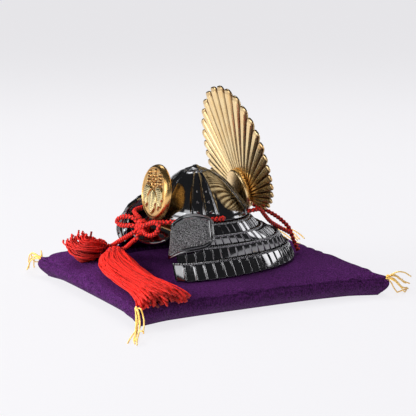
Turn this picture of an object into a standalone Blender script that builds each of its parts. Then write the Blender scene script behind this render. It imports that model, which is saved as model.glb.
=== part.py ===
import math

import bmesh
import bpy
import numpy as np

for old in list(bpy.data.objects):
    bpy.data.objects.remove(old, do_unlink=True)

# Lengths are metres. The front of the helmet faces -Y and the wearer's left is +X.
GAP = 0.0003
PLATE = 0.0011

# Cushion
CUSHION_MID_X = 0.075
CUSHION_MID_Y = 0.088
CUSHION_CORNERS = {
    "front_left": (0.085, -0.0985), "rear_left": (0.090, 0.091),
    "rear_right": (-0.080, 0.095), "front_right": (-0.081, -0.096),
}
SEAM_HEIGHT = 0.013
CROWN_HEIGHT = 0.0190
CROWN_TILT = 0.0026
EDGE_PUFF = 6.0
PRESS_REACH = 0.009
SIDE_STEPS = 12

# Bowl
BOWL_RADIUS = 0.0343
BOWL_CENTRE_Y = -0.0083
BOWL_BASE = 0.0525
BOWL_HEIGHT = 0.0326
BOWL_BROW = 0.90
BOWL_WALL = 0.0016
CROWN_SHIFT = -0.0022
RIDGE_HEIGHT = 0.0010
RIDGE_FOOT = 2.3
RIDGE_TOP = 0.9
CORD_HOLE_RADIUS = 0.0020
CORD_HOLE_RISE = 0.0020

# Neck guard rows: half width, centre y, rear reach, height
ROW_COLUMNS = ("half_width", "centre_y", "reach", "height")
ROWS = (
    (BOWL_RADIUS + 0.0009, BOWL_CENTRE_Y, BOWL_RADIUS + 0.0012, BOWL_BASE - 0.0007),
    (0.0408, -0.0120, 0.0490, 0.0445),
    (0.0430, -0.0120, 0.0640, 0.0375),
    (0.0475, -0.0250, 0.0860, 0.0288),
    (0.0530, -0.0280, 0.0940, 0.0170),
)
TIER_FRONT = -0.0470
RIM_FRONT = -0.0498
FRONT_INSET = 0.09
VISOR_REACH = 0.0104
VISOR_DROP = 0.0163
VISOR_TURN = 60.0
TIER_OVERLAP = 0.0012
TIER_BULGE = 0.0004

# Front disc
DISC_RADIUS = 0.0196
DISC_THICKNESS = 0.0044
DISC_CENTRE = (0.0, BOWL_CENTRE_Y - BOWL_RADIUS - 0.0009, BOWL_BASE + 0.0179)
DISC_LEAN = 7.2
RELIEF = 0.0011
PIP_RADIUS = 0.0011
LUG_WIDTH = 0.0070
LUG_LOW = -0.0100
LUG_HIGH = -0.0010
LUG_REACH = 0.0120

# Rear fan
FAN_HUB = (0.0, BOWL_CENTRE_Y + BOWL_RADIUS + 0.0036, BOWL_BASE + 0.0095)
FAN_LEAN = 14.6
FAN_PITCH = 7.27
FAN_RAYS = (
    0.0826, 0.0817, 0.0793, 0.0752, 0.0707, 0.0662, 0.0614, 0.0566,
    0.0528, 0.0492, 0.0463, 0.0428, 0.0385, 0.0336, 0.0279,
)
FAN_INNER = 0.0060
FAN_SHEET = 0.0016
PLEAT_DEPTH = 0.0014
TIP_CUT = 0.0026
BOSS_HALF_WIDTH = 0.0130
BOSS_HALF_HEIGHT = 0.0155
BOSS_CENTRE_UP = 0.0057
BOSS_THICKNESS = 0.0040
BOSS_FOOT = BOWL_BASE + 0.0011

# Cords and tassels
CORD_RADIUS = 0.0014
CORD_STEP = 0.0058


def material(name, colour, metallic, roughness):
    made = bpy.data.materials.new(name)
    made.use_nodes = True
    shader = made.node_tree.nodes["Principled BSDF"]
    shader.inputs["Base Color"].default_value = (*colour, 1.0)
    shader.inputs["Metallic"].default_value = metallic
    shader.inputs["Roughness"].default_value = roughness
    return made


BLACK = material("black_plating", (0.012, 0.012, 0.014), 0.9, 0.22)
GOLD = material("gold_plating", (0.83, 0.56, 0.22), 1.0, 0.25)
RED = material("red_cord", (0.72, 0.02, 0.015), 0.0, 0.75)
YELLOW = material("yellow_cord", (0.85, 0.55, 0.10), 0.0, 0.75)
PURPLE = material("purple_crepe", (0.12, 0.02, 0.22), 0.0, 0.85)


def solid(name, points, faces, paint, smooth=True):
    mesh = bpy.data.meshes.new(name)
    mesh.from_pydata([tuple(float(c) for c in p) for p in points], [], faces)
    edit = bmesh.new()
    edit.from_mesh(mesh)
    bmesh.ops.recalc_face_normals(edit, faces=edit.faces)
    edit.to_mesh(mesh)
    edit.free()
    mesh.materials.append(paint)
    for face in mesh.polygons:
        face.use_smooth = smooth
    made = bpy.data.objects.new(name, mesh)
    bpy.context.scene.collection.objects.link(made)
    return made


def loft_parts(rings, start=None, end=None):
    count = len(rings[0])
    points = [p for ring in rings for p in ring]
    faces = []
    for i in range(len(rings) - 1):
        for j in range(count):
            k = (j + 1) % count
            faces.append((i * count + j, i * count + k, (i + 1) * count + k, (i + 1) * count + j))
    last = (len(rings) - 1) * count
    if start is None:
        faces.append(tuple(reversed(range(count))))
    else:
        points.append(start)
        pole = len(points) - 1
        faces += [(pole, (j + 1) % count, j) for j in range(count)]
    if end is None:
        faces.append(tuple(range(last, last + count)))
    else:
        points.append(end)
        pole = len(points) - 1
        faces += [(pole, last + j, last + (j + 1) % count) for j in range(count)]
    return points, faces


def loft(name, rings, paint, start=None, end=None, smooth=True):
    points, faces = loft_parts(rings, start, end)
    return solid(name, points, faces, paint, smooth)


def join_parts(name, parts, paint, smooth=True):
    points, faces = [], []
    for some_points, some_faces in parts:
        base = len(points)
        points += list(some_points)
        faces += [tuple(base + i for i in face) for face in some_faces]
    return solid(name, points, faces, paint, smooth)


def boolean(target, tool, operation):
    modifier = target.modifiers.new(tool.name, "BOOLEAN")
    modifier.solver = "EXACT"
    modifier.operation = operation
    modifier.object = tool
    tool.hide_render = True
    tool.display_type = "WIRE"


def smooth_route(points, step):
    points = np.array(points, float)
    ends = np.vstack([2 * points[0] - points[1], points, 2 * points[-1] - points[-2]])
    fine = []
    for i in range(len(points) - 1):
        a, b, c, d = ends[i:i + 4]
        for t in np.linspace(0.0, 1.0, 24, endpoint=False):
            fine.append(0.5 * (2 * b + (c - a) * t + (2 * a - 5 * b + 4 * c - d) * t ** 2
                               + (3 * b - a - 3 * c + d) * t ** 3))
    fine.append(points[-1])
    fine = np.array(fine)
    run = np.concatenate([[0.0], np.cumsum(np.linalg.norm(np.diff(fine, axis=0), axis=1))])
    count = max(2, int(round(run[-1] / step)) + 1)
    marks = np.linspace(0.0, run[-1], count)
    return np.stack([np.interp(marks, run, fine[:, k]) for k in range(3)], axis=1)


def cord(name, points, radius, paint, step=CORD_STEP):
    route = smooth_route(points, step)
    data = bpy.data.curves.new(name, "CURVE")
    data.dimensions = "3D"
    data.bevel_depth = radius
    data.bevel_resolution = 2
    data.use_fill_caps = True
    line = data.splines.new("POLY")
    line.points.add(len(route) - 1)
    for place, spot in zip(line.points, route):
        place.co = (float(spot[0]), float(spot[1]), float(spot[2]), 1.0)
    line.use_smooth = True
    data.materials.append(paint)
    made = bpy.data.objects.new(name, data)
    bpy.context.scene.collection.objects.link(made)
    return made


# Cushion surface
RIM = dict(zip(ROW_COLUMNS, ROWS[4]))
RIM_BACKWARD = 0.034


def rim_measure(x, y):
    along = y - RIM["centre_y"]
    if along > 0:
        return math.hypot(x / RIM["half_width"], along / RIM["reach"])
    u = min(1.0, along / (RIM_FRONT - RIM["centre_y"]))
    wide = RIM["half_width"] * (1.0 - FRONT_INSET * u * u)
    return ((abs(x) / wide) ** 6 + (along / RIM_BACKWARD) ** 6) ** (1 / 6)


def corner_of(x, y):
    return CUSHION_CORNERS[("front" if y < 0 else "rear") + ("_left" if x > 0 else "_right")]


def cushion_edge(x, y):
    corner = corner_of(x, y)
    wide = CUSHION_MID_X + (abs(corner[0]) - CUSHION_MID_X) * min(1.0, abs(y / corner[1])) ** 3
    deep = CUSHION_MID_Y + (abs(corner[1]) - CUSHION_MID_Y) * min(1.0, abs(x / corner[0])) ** 3
    a, b = abs(x) / wide, abs(y) / deep
    return min(1.0, (a ** 12 + b ** 12) ** (1 / 12))


def cushion_top(x, y):
    crown = CROWN_HEIGHT - CROWN_TILT * x / CUSHION_MID_X
    full = SEAM_HEIGHT + (crown - SEAM_HEIGHT) * (1.0 - cushion_edge(x, y) ** EDGE_PUFF) ** 0.5
    away = (rim_measure(x, y) - 1.0) * 0.055
    weight = math.exp(-(away / PRESS_REACH) ** 2)
    if y < TIER_FRONT:
        side = min(1.0, max(0.0, (abs(x) - 0.028) / 0.012))
        weight *= side * side * (3 - 2 * side)
    pressed = min(full, RIM["height"] - 3 * GAP)
    return full * (1.0 - weight) + pressed * weight


def side_points(start, end, middle, axis):
    spots = []
    for step in range(SIDE_STEPS):
        t = -1.0 + 2.0 * step / SIDE_STEPS
        corner = start if t < 0 else end
        x = abs(t) * corner[0]
        y = abs(t) * corner[1]
        if axis == 0:
            x = math.copysign(middle + (abs(corner[0]) - middle) * abs(t) ** 3, corner[0])
        else:
            y = math.copysign(middle + (abs(corner[1]) - middle) * abs(t) ** 3, corner[1])
        spots.append((x, y, abs(t) ** 4))
    return spots


def outline_points():
    c = list(CUSHION_CORNERS.values())
    return (side_points(c[0], c[1], CUSHION_MID_X, 0) + side_points(c[1], c[2], CUSHION_MID_Y, 1)
            + side_points(c[2], c[3], CUSHION_MID_X, 0) + side_points(c[3], c[0], CUSHION_MID_Y, 1))


def rim_reach(direction):
    low, high = 0.0, 0.12
    for _ in range(40):
        middle = (low + high) / 2
        if rim_measure(direction[0] * middle, direction[1] * middle) < 1.0:
            low = middle
        else:
            high = middle
    return low


LOWER_RINGS = ((0.0080, 0.004, 0.030), (0.0030, 0.010, 0.060), (0.0, 0.024, 0.085))


def build_cushion():
    rings = [[] for _ in range(11)]
    for x, y, corner in outline_points():
        reach = math.hypot(x, y)
        direction = (x / reach, y / reach)
        rim = rim_reach(direction)
        outside = min(rim + 0.009, 0.5 * (rim + reach))
        levels = [0.45 * rim, 0.78 * rim, rim - 0.0010, outside, 0.5 * (outside + reach - 0.007),
                  reach - 0.007, reach - 0.0022, reach]
        for ring, level in zip(rings, levels):
            px, py = direction[0] * level, direction[1] * level
            ring.append((px, py, cushion_top(px, py) if level < reach else SEAM_HEIGHT))
        for ring, (height, mid_in, corner_in) in zip(rings[8:], LOWER_RINGS):
            share = 1.0 - mid_in - (corner_in - mid_in) * corner
            ring.append((x * share, y * share, height))
    loft("cushion", rings, PURPLE, start=(0.0, 0.0, cushion_top(0.0, 0.0)), end=None)


# Bowl of the helmet
BOWL_PROFILE = (
    (1.000, 0.000), (1.000, 0.060), (0.968, 0.190), (0.874, 0.339), (0.728, 0.537),
    (0.550, 0.755), (0.400, 0.870), (0.284, 0.936), (0.140, 0.982),
)
RIDGES = (13.0, 54.3, 70.5, 85.5, 136.0, 152.0, 168.0)
INNER_ROWS = (6, 4, 2, 0)


def bowl_columns():
    columns = []
    for sign in (1, -1):
        for ridge in RIDGES:
            for offset, lift in ((-RIDGE_FOOT, 0.0), (-RIDGE_TOP, 1.0), (RIDGE_TOP, 1.0), (RIDGE_FOOT, 0.0)):
                columns.append((sign * (ridge + offset), lift))
    columns += [(a, 0.0) for a in (0.0, 26.0, -26.0, 40.0, -40.0, 103.0, -103.0, 119.0, -119.0, 180.0)]
    return sorted(columns)


def bowl_radius(angle):
    ahead = max(0.0, math.cos(math.radians(angle)))
    return BOWL_RADIUS * (1.0 - (1.0 - BOWL_BROW) * ahead ** 2)


def bowl_point(angle, share, up, inset, lift):
    radius = bowl_radius(angle) * share - inset + RIDGE_HEIGHT * lift * min(1.0, share * 1.6)
    turn = math.radians(angle)
    middle = BOWL_CENTRE_Y + CROWN_SHIFT * up
    height = BOWL_BASE + BOWL_HEIGHT * up
    return (radius * math.sin(turn), middle - radius * math.cos(turn), height)


def build_bowl():
    columns = bowl_columns()
    rings = []
    for row in INNER_ROWS:
        share, up = BOWL_PROFILE[row]
        down = up * (1.0 - BOWL_WALL / BOWL_HEIGHT)
        rings.append([bowl_point(a, share, down, BOWL_WALL, 0.0) for a, _ in columns])
    for share, up in BOWL_PROFILE:
        fade = 0.0 if up < 0.03 else 1.0
        rings.append([bowl_point(a, share, up, 0.0, lift * fade) for a, lift in columns])
    inner_top = (0.0, BOWL_CENTRE_Y + CROWN_SHIFT, BOWL_BASE + BOWL_HEIGHT - BOWL_WALL)
    outer_top = (0.0, BOWL_CENTRE_Y + CROWN_SHIFT, BOWL_BASE + BOWL_HEIGHT)
    shell = loft("bowl", rings, BLACK, start=inner_top, end=outer_top, smooth=True)
    holes = []
    for angle in (91.0, -91.0, 144.0, -144.0):
        turn = math.radians(angle)
        out = np.array([math.sin(turn), -math.cos(turn), 0.0])
        side = np.array([out[1], -out[0], 0.0])
        middle = np.array([0.0, BOWL_CENTRE_Y, BOWL_BASE + CORD_HOLE_RISE])
        pair = []
        for reach in (BOWL_RADIUS - 0.006, BOWL_RADIUS + 0.006):
            pair.append([tuple(middle + out * reach + CORD_HOLE_RADIUS * (side * math.cos(t)
                                                                          + np.array([0, 0, 1.0]) * math.sin(t)))
                         for t in np.linspace(0, 2 * math.pi, 10, endpoint=False)])
        holes.append(loft_parts(pair))
    boolean(shell, join_parts("cord_hole_cutter", holes, BLACK), "DIFFERENCE")


def bowl_clearance(space):
    rings = []
    for share, up in ((1.0, -0.20),) + BOWL_PROFILE:
        rings.append([bowl_point(a, share, up, -space, 0.0) for a in range(0, 360, 10)])
    return loft_parts(rings, None, (0.0, BOWL_CENTRE_Y + CROWN_SHIFT, BOWL_BASE + BOWL_HEIGHT + space))


def build_rosette():
    middle = BOWL_CENTRE_Y + CROWN_SHIFT
    top = BOWL_BASE + BOWL_HEIGHT
    rings = []
    for radius, height, scallop in ((0.0046, -0.0001, 0.0), (0.0057, -0.0003, 0.10), (0.0059, 0.0003, 0.10),
                                    (0.0048, 0.0010, 0.04), (0.0022, 0.0012, 0.0), (0.0018, 0.0019, 0.0)):
        ring = []
        for t in np.linspace(0, 2 * math.pi, 24, endpoint=False):
            reach = radius * (1.0 + scallop * math.cos(8 * t))
            ring.append((reach * math.cos(t), middle + reach * math.sin(t), top + height + GAP))
        rings.append(ring)
    loft("crown_rosette", rings, BLACK, start=(0, middle, top + GAP), end=(0, middle, top + 0.0024))


# Neck guard of four tiers
def row_point(row, t, inset, front):
    half, centre, reach, height = ROWS[row]
    half, reach = half - inset, reach - inset
    if abs(t) <= 1.0:
        turn = t * math.pi / 2
        return np.array([half * math.sin(turn), centre + reach * math.cos(turn), height])
    u = abs(t) - 1.0
    wide = half * (1.0 - FRONT_INSET * u * u)
    return np.array([math.copysign(wide, t), centre + (front - centre) * u, height])


def build_tier(name, row, last, front):
    rings = []
    marks = [-2.0, -1.75, -1.5, -1.25] + list(np.linspace(-1.0, 1.0, 17)) + [1.25, 1.5, 1.75, 2.0]
    tuck = 0.0 if last else PLATE + 2 * GAP
    for t in marks:
        upper = row_point(row, t, 0.0, front)
        lower = row_point(row + 1, t, tuck, front)
        if not last:
            lower[2] -= TIER_OVERLAP
        out = row_point(row, t, -0.001, front) - row_point(row, t, 0.0, front)
        out = out / np.linalg.norm(out) if np.linalg.norm(out) > 1e-7 else np.array([math.copysign(1, t), 0, 0])
        if abs(t) > 1.0:
            out = np.array([math.copysign(1.0, t), 0.0, 0.0])
        middle = (upper + lower) / 2 + out * TIER_BULGE
        rings.append([tuple(upper), tuple(middle), tuple(lower), tuple(lower - out * PLATE),
                      tuple(middle - out * PLATE), tuple(upper - out * PLATE)])
    loft(name, rings, BLACK, smooth=False)


# Turn-backs beside the face
TURN_COLUMNS = ("share", "low_x", "low_y", "low_z", "top_x", "top_y", "top_z", "swell")
TURN_BACK = (
    (-0.10, 0.0358, -0.0489, 0.0325, 0.0330, -0.0450, 0.0540, 0.0044),
    (-0.04, 0.0364, -0.0512, 0.0316, 0.0336, -0.0470, 0.0545, 0.0056),
    (0.00, 0.0385, -0.0520, 0.0312, 0.0350, -0.0474, 0.0550, 0.0060),
    (0.10, 0.0416, -0.0499, 0.0332, 0.0353, -0.0435, 0.0574, 0.0056),
    (0.22, 0.0453, -0.0463, 0.0356, 0.0360, -0.0394, 0.0595, 0.0048),
    (0.40, 0.0488, -0.0401, 0.0371, 0.0384, -0.0361, 0.0607, 0.0036),
    (0.58, 0.0510, -0.0346, 0.0380, 0.0416, -0.0318, 0.0611, 0.0028),
    (0.74, 0.0524, -0.0303, 0.0392, 0.0442, -0.0282, 0.0606, 0.0022),
    (0.86, 0.0529, -0.0273, 0.0410, 0.0461, -0.0256, 0.0594, 0.0016),
    (0.92, 0.0531, -0.0259, 0.0428, 0.0473, -0.0245, 0.0582, 0.0014),
    (1.00, 0.0530, -0.0242, 0.0462, 0.0490, -0.0232, 0.0557, 0.0010),
)
TURN_ROWS = (0.0, 0.07, 0.10, 0.3, 0.5, 0.7, 0.90, 0.93, 1.0)
TURN_BORDER = 0.0005


def build_turn_back(name, sign):
    grid = []
    for share, bx, by, bz, tx, ty, tz, bulge in TURN_BACK:
        low, top = np.array([bx, by, bz]), np.array([tx, ty, tz])
        line = []
        for h in TURN_ROWS:
            swell = bulge * math.sin(math.pi * h ** 0.8)
            line.append(low + (top - low) * h + np.array([0.90, -0.40, 0.0]) * swell)
        grid.append(line)
    grid = np.array(grid)
    along = np.gradient(grid, axis=0)
    upward = np.gradient(grid, axis=1)
    normal = np.cross(along, upward)
    normal /= np.linalg.norm(normal, axis=2, keepdims=True)
    rings = []
    for i, row in enumerate(TURN_BACK):
        face, back = [], []
        for j, h in enumerate(TURN_ROWS):
            edge = row[0] >= 0.92 or h <= 0.07 or h >= 0.93
            lift = TURN_BORDER if edge and row[0] > 0.05 else 0.0
            face.append(grid[i][j] + normal[i][j] * lift)
            back.append(grid[i][j] - normal[i][j] * PLATE)
        ring = face + back[::-1]
        rings.append([(sign * p[0], p[1], p[2]) for p in ring])
    loft(name, rings, BLACK, smooth=False)


# Visor over the face opening
def build_visor():
    rings = []
    for t in np.linspace(-1.0, 1.0, 17):
        turn = math.radians(VISOR_TURN * t)
        joint = bowl_radius(VISOR_TURN * t) - BOWL_WALL / 2
        inner = np.array([joint * math.sin(turn), BOWL_CENTRE_Y - joint * math.cos(turn), BOWL_BASE - GAP])
        lip = np.array([0.96 * joint * math.sin(turn),
                        BOWL_CENTRE_Y - BOWL_RADIUS - VISOR_REACH + 0.0045 * t * t,
                        BOWL_BASE - VISOR_DROP + 0.0058 * t * t])
        mid = inner * 0.52 + lip * 0.48 + np.array([0.0, -0.0016 * (1 - 0.5 * t * t), 0.0016])
        near = inner * 0.2 + lip * 0.8 + np.array([0.0, -0.0010, 0.0012])
        down = np.array([0.0, 0.35, -0.94])
        rings.append([tuple(inner), tuple(mid), tuple(near), tuple(lip),
                      tuple(lip + down * 0.0016 + np.array([0, 0.0008, 0.0004])),
                      tuple(near + down * PLATE), tuple(mid + down * PLATE), tuple(inner + down * PLATE)])
    loft("visor", rings, BLACK, smooth=True)


# Front disc with leaf and blossom relief
LEAN = math.radians(DISC_LEAN)
DISC_RIGHT = np.array([1.0, 0.0, 0.0])
DISC_UP = np.array([0.0, math.sin(LEAN), math.cos(LEAN)])
DISC_OUT = np.array([0.0, -math.cos(LEAN), math.sin(LEAN)])


def on_disc(p, q, out):
    return np.array(DISC_CENTRE) + DISC_RIGHT * p + DISC_UP * q + DISC_OUT * out


def circle_on_disc(radius, out, count, p=0.0, q=0.0):
    return [tuple(on_disc(p + radius * math.cos(t), q + radius * math.sin(t), out))
            for t in np.linspace(0, 2 * math.pi, count, endpoint=False)]


MIDDLE_LEAF = ((0.0, 0.10), (0.15, 0.02), (0.27, -0.16), (0.30, -0.36), (0.20, -0.42), (0.17, -0.58),
               (0.0, -0.74), (-0.17, -0.58), (-0.20, -0.42), (-0.30, -0.36), (-0.27, -0.16), (-0.15, 0.02))
SIDE_LEAF = ((0.17, 0.10), (0.28, 0.20), (0.44, 0.24), (0.60, 0.18), (0.70, 0.02), (0.74, -0.16),
             (0.68, -0.26), (0.66, -0.42), (0.54, -0.44), (0.48, -0.56), (0.36, -0.44), (0.36, -0.20),
             (0.30, -0.06))
BLOSSOMS = ((0.0, 0.22), (-0.11, 0.31), (0.11, 0.31), (0.0, 0.40), (-0.11, 0.49), (0.11, 0.49), (0.0, 0.60),
            (0.0, 0.76), (0.32, 0.36), (0.50, 0.36), (0.41, 0.46), (0.32, 0.56), (0.48, 0.56), (0.40, 0.68))


def leaf_parts(shares, sign):
    outline = [(sign * p * DISC_RADIUS, q * DISC_RADIUS) for p, q in shares]
    middle = np.mean(np.array(outline), axis=0)
    rings = []
    for scale, out in ((1.0, -0.0006), (1.0, RELIEF * 0.6), (0.80, RELIEF)):
        rings.append([tuple(on_disc(middle[0] + (p - middle[0]) * scale, middle[1] + (q - middle[1]) * scale, out))
                      for p, q in outline])
    return loft_parts(rings, None, tuple(on_disc(middle[0], middle[1], RELIEF * 1.1)))


def build_disc():
    profile = ((0.90, -DISC_THICKNESS), (0.985, -DISC_THICKNESS + 0.0008), (1.0, -0.0022), (0.975, -0.0009),
               (0.90, 0.0004), (0.86, 0.0004), (0.83, 0.0))
    rings = [circle_on_disc(DISC_RADIUS * share, out, 40) for share, out in profile]
    disc = loft("front_disc", rings, GOLD, start=tuple(on_disc(0, 0, -DISC_THICKNESS)),
                end=tuple(on_disc(0, 0, 0.0)), smooth=False)
    parts = [leaf_parts(MIDDLE_LEAF, 1), leaf_parts(SIDE_LEAF, 1), leaf_parts(SIDE_LEAF, -1)]
    for p, q in BLOSSOMS:
        for sign in ((1,) if p <= 0.2 else (1, -1)):
            spot = (sign * p * DISC_RADIUS, q * DISC_RADIUS)
            pair = [circle_on_disc(PIP_RADIUS, -0.0006, 6, *spot), circle_on_disc(PIP_RADIUS * 0.9, 0.0004, 6, *spot)]
            parts.append(loft_parts(pair, None, tuple(on_disc(*spot, 0.0010))))
    boolean(disc, join_parts("relief", parts, GOLD, smooth=False), "UNION")
    lug = [[tuple(on_disc(p, q, out)) for p, q in ((-LUG_WIDTH / 2, LUG_LOW), (LUG_WIDTH / 2, LUG_LOW),
                                                   (LUG_WIDTH / 2, LUG_HIGH), (-LUG_WIDTH / 2, LUG_HIGH))]
           for out in (-DISC_THICKNESS + 0.0010, -DISC_THICKNESS - LUG_REACH)]
    boolean(disc, join_parts("lug", [loft_parts(lug)], GOLD), "UNION")
    boolean(disc, join_parts("lug_seat", [bowl_clearance(GAP)], GOLD), "DIFFERENCE")


# Rear fan of pleated rays
TILT = math.radians(FAN_LEAN)
FAN_UP = np.array([0.0, -math.sin(TILT), math.cos(TILT)])
FAN_OUT = np.array([0.0, -math.cos(TILT), -math.sin(TILT)])


def on_fan(angle, radius, out):
    side = math.sin(angle)
    return np.array(FAN_HUB) + np.array([1.0, 0, 0]) * radius * side + FAN_UP * radius * math.cos(angle) + FAN_OUT * out


def build_fan():
    pitch = math.radians(FAN_PITCH)
    columns = []
    for k in range(-14, 15):
        reach = FAN_RAYS[abs(k)]
        before = FAN_RAYS[min(14, abs(k - 1))]
        columns.append(((k - 0.5) * pitch, min(reach, before) - TIP_CUT, 0.0))
        columns.append(((k - 0.22) * pitch, reach, 1.0))
        columns.append(((k + 0.22) * pitch, reach, 1.0))
    columns.append((14.5 * pitch, FAN_RAYS[14] - TIP_CUT, 0.0))
    rings = []
    for angle, reach, crest in columns:
        lift = PLEAT_DEPTH * crest
        rings.append([tuple(on_fan(angle, FAN_INNER, lift * 0.6)), tuple(on_fan(angle, reach - 0.0022, lift)),
                      tuple(on_fan(angle, reach, lift * 0.45)), tuple(on_fan(angle, reach, lift * 0.45 - FAN_SHEET * 0.6)),
                      tuple(on_fan(angle, reach - 0.0022, lift - FAN_SHEET)),
                      tuple(on_fan(angle, FAN_INNER, lift * 0.6 - FAN_SHEET))])
    fan = loft("rear_fan", rings, GOLD, smooth=False)
    hub = [[tuple(on_fan(t, 0.0085, out)) for t in np.linspace(0, 2 * math.pi, 14, endpoint=False)]
           for out in (-0.0024, 0.0006)]
    stem = [[tuple(on_fan(0.0, 0.0, out) + np.array([1.0, 0, 0]) * x + FAN_UP * up)
             for x, up in ((-0.0040, 0.0), (0.0040, 0.0), (0.0032, -0.0082), (-0.0032, -0.0082))]
            for out in (-0.0020, 0.0002)]
    boolean(fan, join_parts("hub", [loft_parts(hub)], GOLD), "UNION")
    boolean(fan, join_parts("stem", [loft_parts(stem)], GOLD), "UNION")


def build_boss():
    level = PLEAT_DEPTH + GAP
    outline = []
    for t in np.linspace(0, 2 * math.pi, 28, endpoint=False):
        x = BOSS_HALF_WIDTH * math.cos(t)
        up = BOSS_CENTRE_UP + BOSS_HALF_HEIGHT * math.sin(t)
        floor = (BOSS_FOOT - FAN_HUB[2]) / FAN_UP[2]
        outline.append((x, max(up, floor)))
    rings = []
    for scale, out in ((1.0, level), (1.0, level + BOSS_THICKNESS - 0.0006), (0.955, level + BOSS_THICKNESS)):
        rings.append([tuple(on_fan(0.0, 0.0, out) + np.array([1.0, 0, 0]) * x * scale
                            + FAN_UP * (BOSS_CENTRE_UP + (up - BOSS_CENTRE_UP) * scale)) for x, up in outline])
    boss = loft("fan_boss", rings, GOLD, smooth=False)
    boolean(boss, join_parts("boss_seat", [bowl_clearance(RIDGE_HEIGHT + 2 * GAP)], GOLD), "DIFFERENCE")


# Red cord
KNOT = (0.0016, -0.0534, 0.0468)
KNOT_SIZE = (0.0050, 0.0038, 0.0050)


def knot_end(point):
    toward = np.array(point) - np.array(KNOT)
    toward /= np.linalg.norm(toward)
    reach = 1.0 / np.linalg.norm(toward / np.array(KNOT_SIZE))
    return tuple(np.array(KNOT) + toward * (reach + GAP))


def mirror(points):
    return [(-x, y, z) for x, y, z in points]


SIDE_RUN = (
    (0.0312, -0.0077, 0.0545), (0.0350, -0.0078, 0.0546), (0.0371, -0.0092, 0.0547), (0.0377, -0.0130, 0.0548),
    (0.0366, -0.0200, 0.0548), (0.0340, -0.0290, 0.0546), (0.0300, -0.0385, 0.0542), (0.0252, -0.0462, 0.0536),
    (0.0165, -0.0490, 0.0522), (0.0104, -0.0498, 0.0513), knot_end((0.0104, -0.0498, 0.0513)),
)
NEAR_LOOP = (
    knot_end((0.0102, -0.0572, 0.0494)), (0.0102, -0.0572, 0.0494), (0.0158, -0.0548, 0.0519),
    (0.0219, -0.0535, 0.0537), (0.0260, -0.0530, 0.0526), (0.0266, -0.0533, 0.0497), (0.0232, -0.0540, 0.0462),
    (0.0180, -0.0550, 0.0441), (0.0125, -0.0562, 0.0443), knot_end((0.0125, -0.0562, 0.0443)),
)
FAR_LOOP = (
    knot_end((-0.0065, -0.0565, 0.0524)), (-0.0065, -0.0565, 0.0524), (-0.0127, -0.0590, 0.0526),
    (-0.0192, -0.0610, 0.0505), (-0.0213, -0.0620, 0.0482), (-0.0184, -0.0618, 0.0464), (-0.0111, -0.0608, 0.0465),
    (-0.0058, -0.0592, 0.0475), knot_end((-0.0058, -0.0592, 0.0475)),
)
TAIL_ONE = (
    knot_end((-0.0040, -0.0580, 0.0421)), (-0.0040, -0.0580, 0.0421), (-0.0125, -0.0588, 0.0380),
    (-0.0235, -0.0594, 0.0330), (-0.0327, -0.0590, 0.0289), (-0.0372, -0.0589, 0.0271), (-0.0400, -0.0604, 0.0266),
)
TAIL_TWO = (
    knot_end((0.0040, -0.0590, 0.0400)), (0.0040, -0.0590, 0.0400), (-0.0015, -0.0592, 0.0368),
    (-0.0085, -0.0578, 0.0338), (-0.0160, -0.0564, 0.0304), (-0.0202, -0.0570, 0.0280), (-0.0218, -0.0588, 0.0270),
)
REAR_NEAR = (
    (0.0182, 0.0168, 0.0545), (0.0208, 0.0203, 0.0548), (0.0212, 0.0250, 0.0552), (0.0185, 0.0315, 0.0548),
    (0.0150, 0.0370, 0.0500), (0.0112, 0.0445, 0.0434), (0.0080, 0.0520, 0.0390), (0.0062, 0.0585, 0.0355),
    (0.0054, 0.0630, 0.0332), (0.0052, 0.0650, 0.0320),
)
REAR_FAR = (
    (-0.0182, 0.0168, 0.0545), (-0.0208, 0.0203, 0.0548), (-0.0210, 0.0260, 0.0552), (-0.0150, 0.0345, 0.0552),
    (-0.0070, 0.0425, 0.0526), (-0.0025, 0.0505, 0.0482), (-0.0010, 0.0580, 0.0434), (0.0000, 0.0640, 0.0382),
    (0.0014, 0.0668, 0.0342), (0.0028, 0.0678, 0.0302), (0.0042, 0.0686, 0.0264), (0.0054, 0.0696, 0.0230),
    (0.0064, 0.0706, 0.0202), (0.0068, 0.0712, 0.0186),
)

def ball(name, centre, radii, paint, rows=7, count=14, lobes=0, depth=0.0):
    rings = []
    for i in range(1, rows):
        level = math.pi * i / rows
        ring = []
        for t in np.linspace(0, 2 * math.pi, count, endpoint=False):
            swell = 1.0 + depth * math.cos(lobes * t)
            ring.append((centre[0] + radii[0] * math.sin(level) * math.cos(t) * swell,
                         centre[1] + radii[1] * math.sin(level) * math.sin(t) * swell,
                         centre[2] + radii[2] * math.cos(level)))
        rings.append(ring)
    loft(name, rings, paint, start=(centre[0], centre[1], centre[2] + radii[2]),
         end=(centre[0], centre[1], centre[2] - radii[2]))


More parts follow.
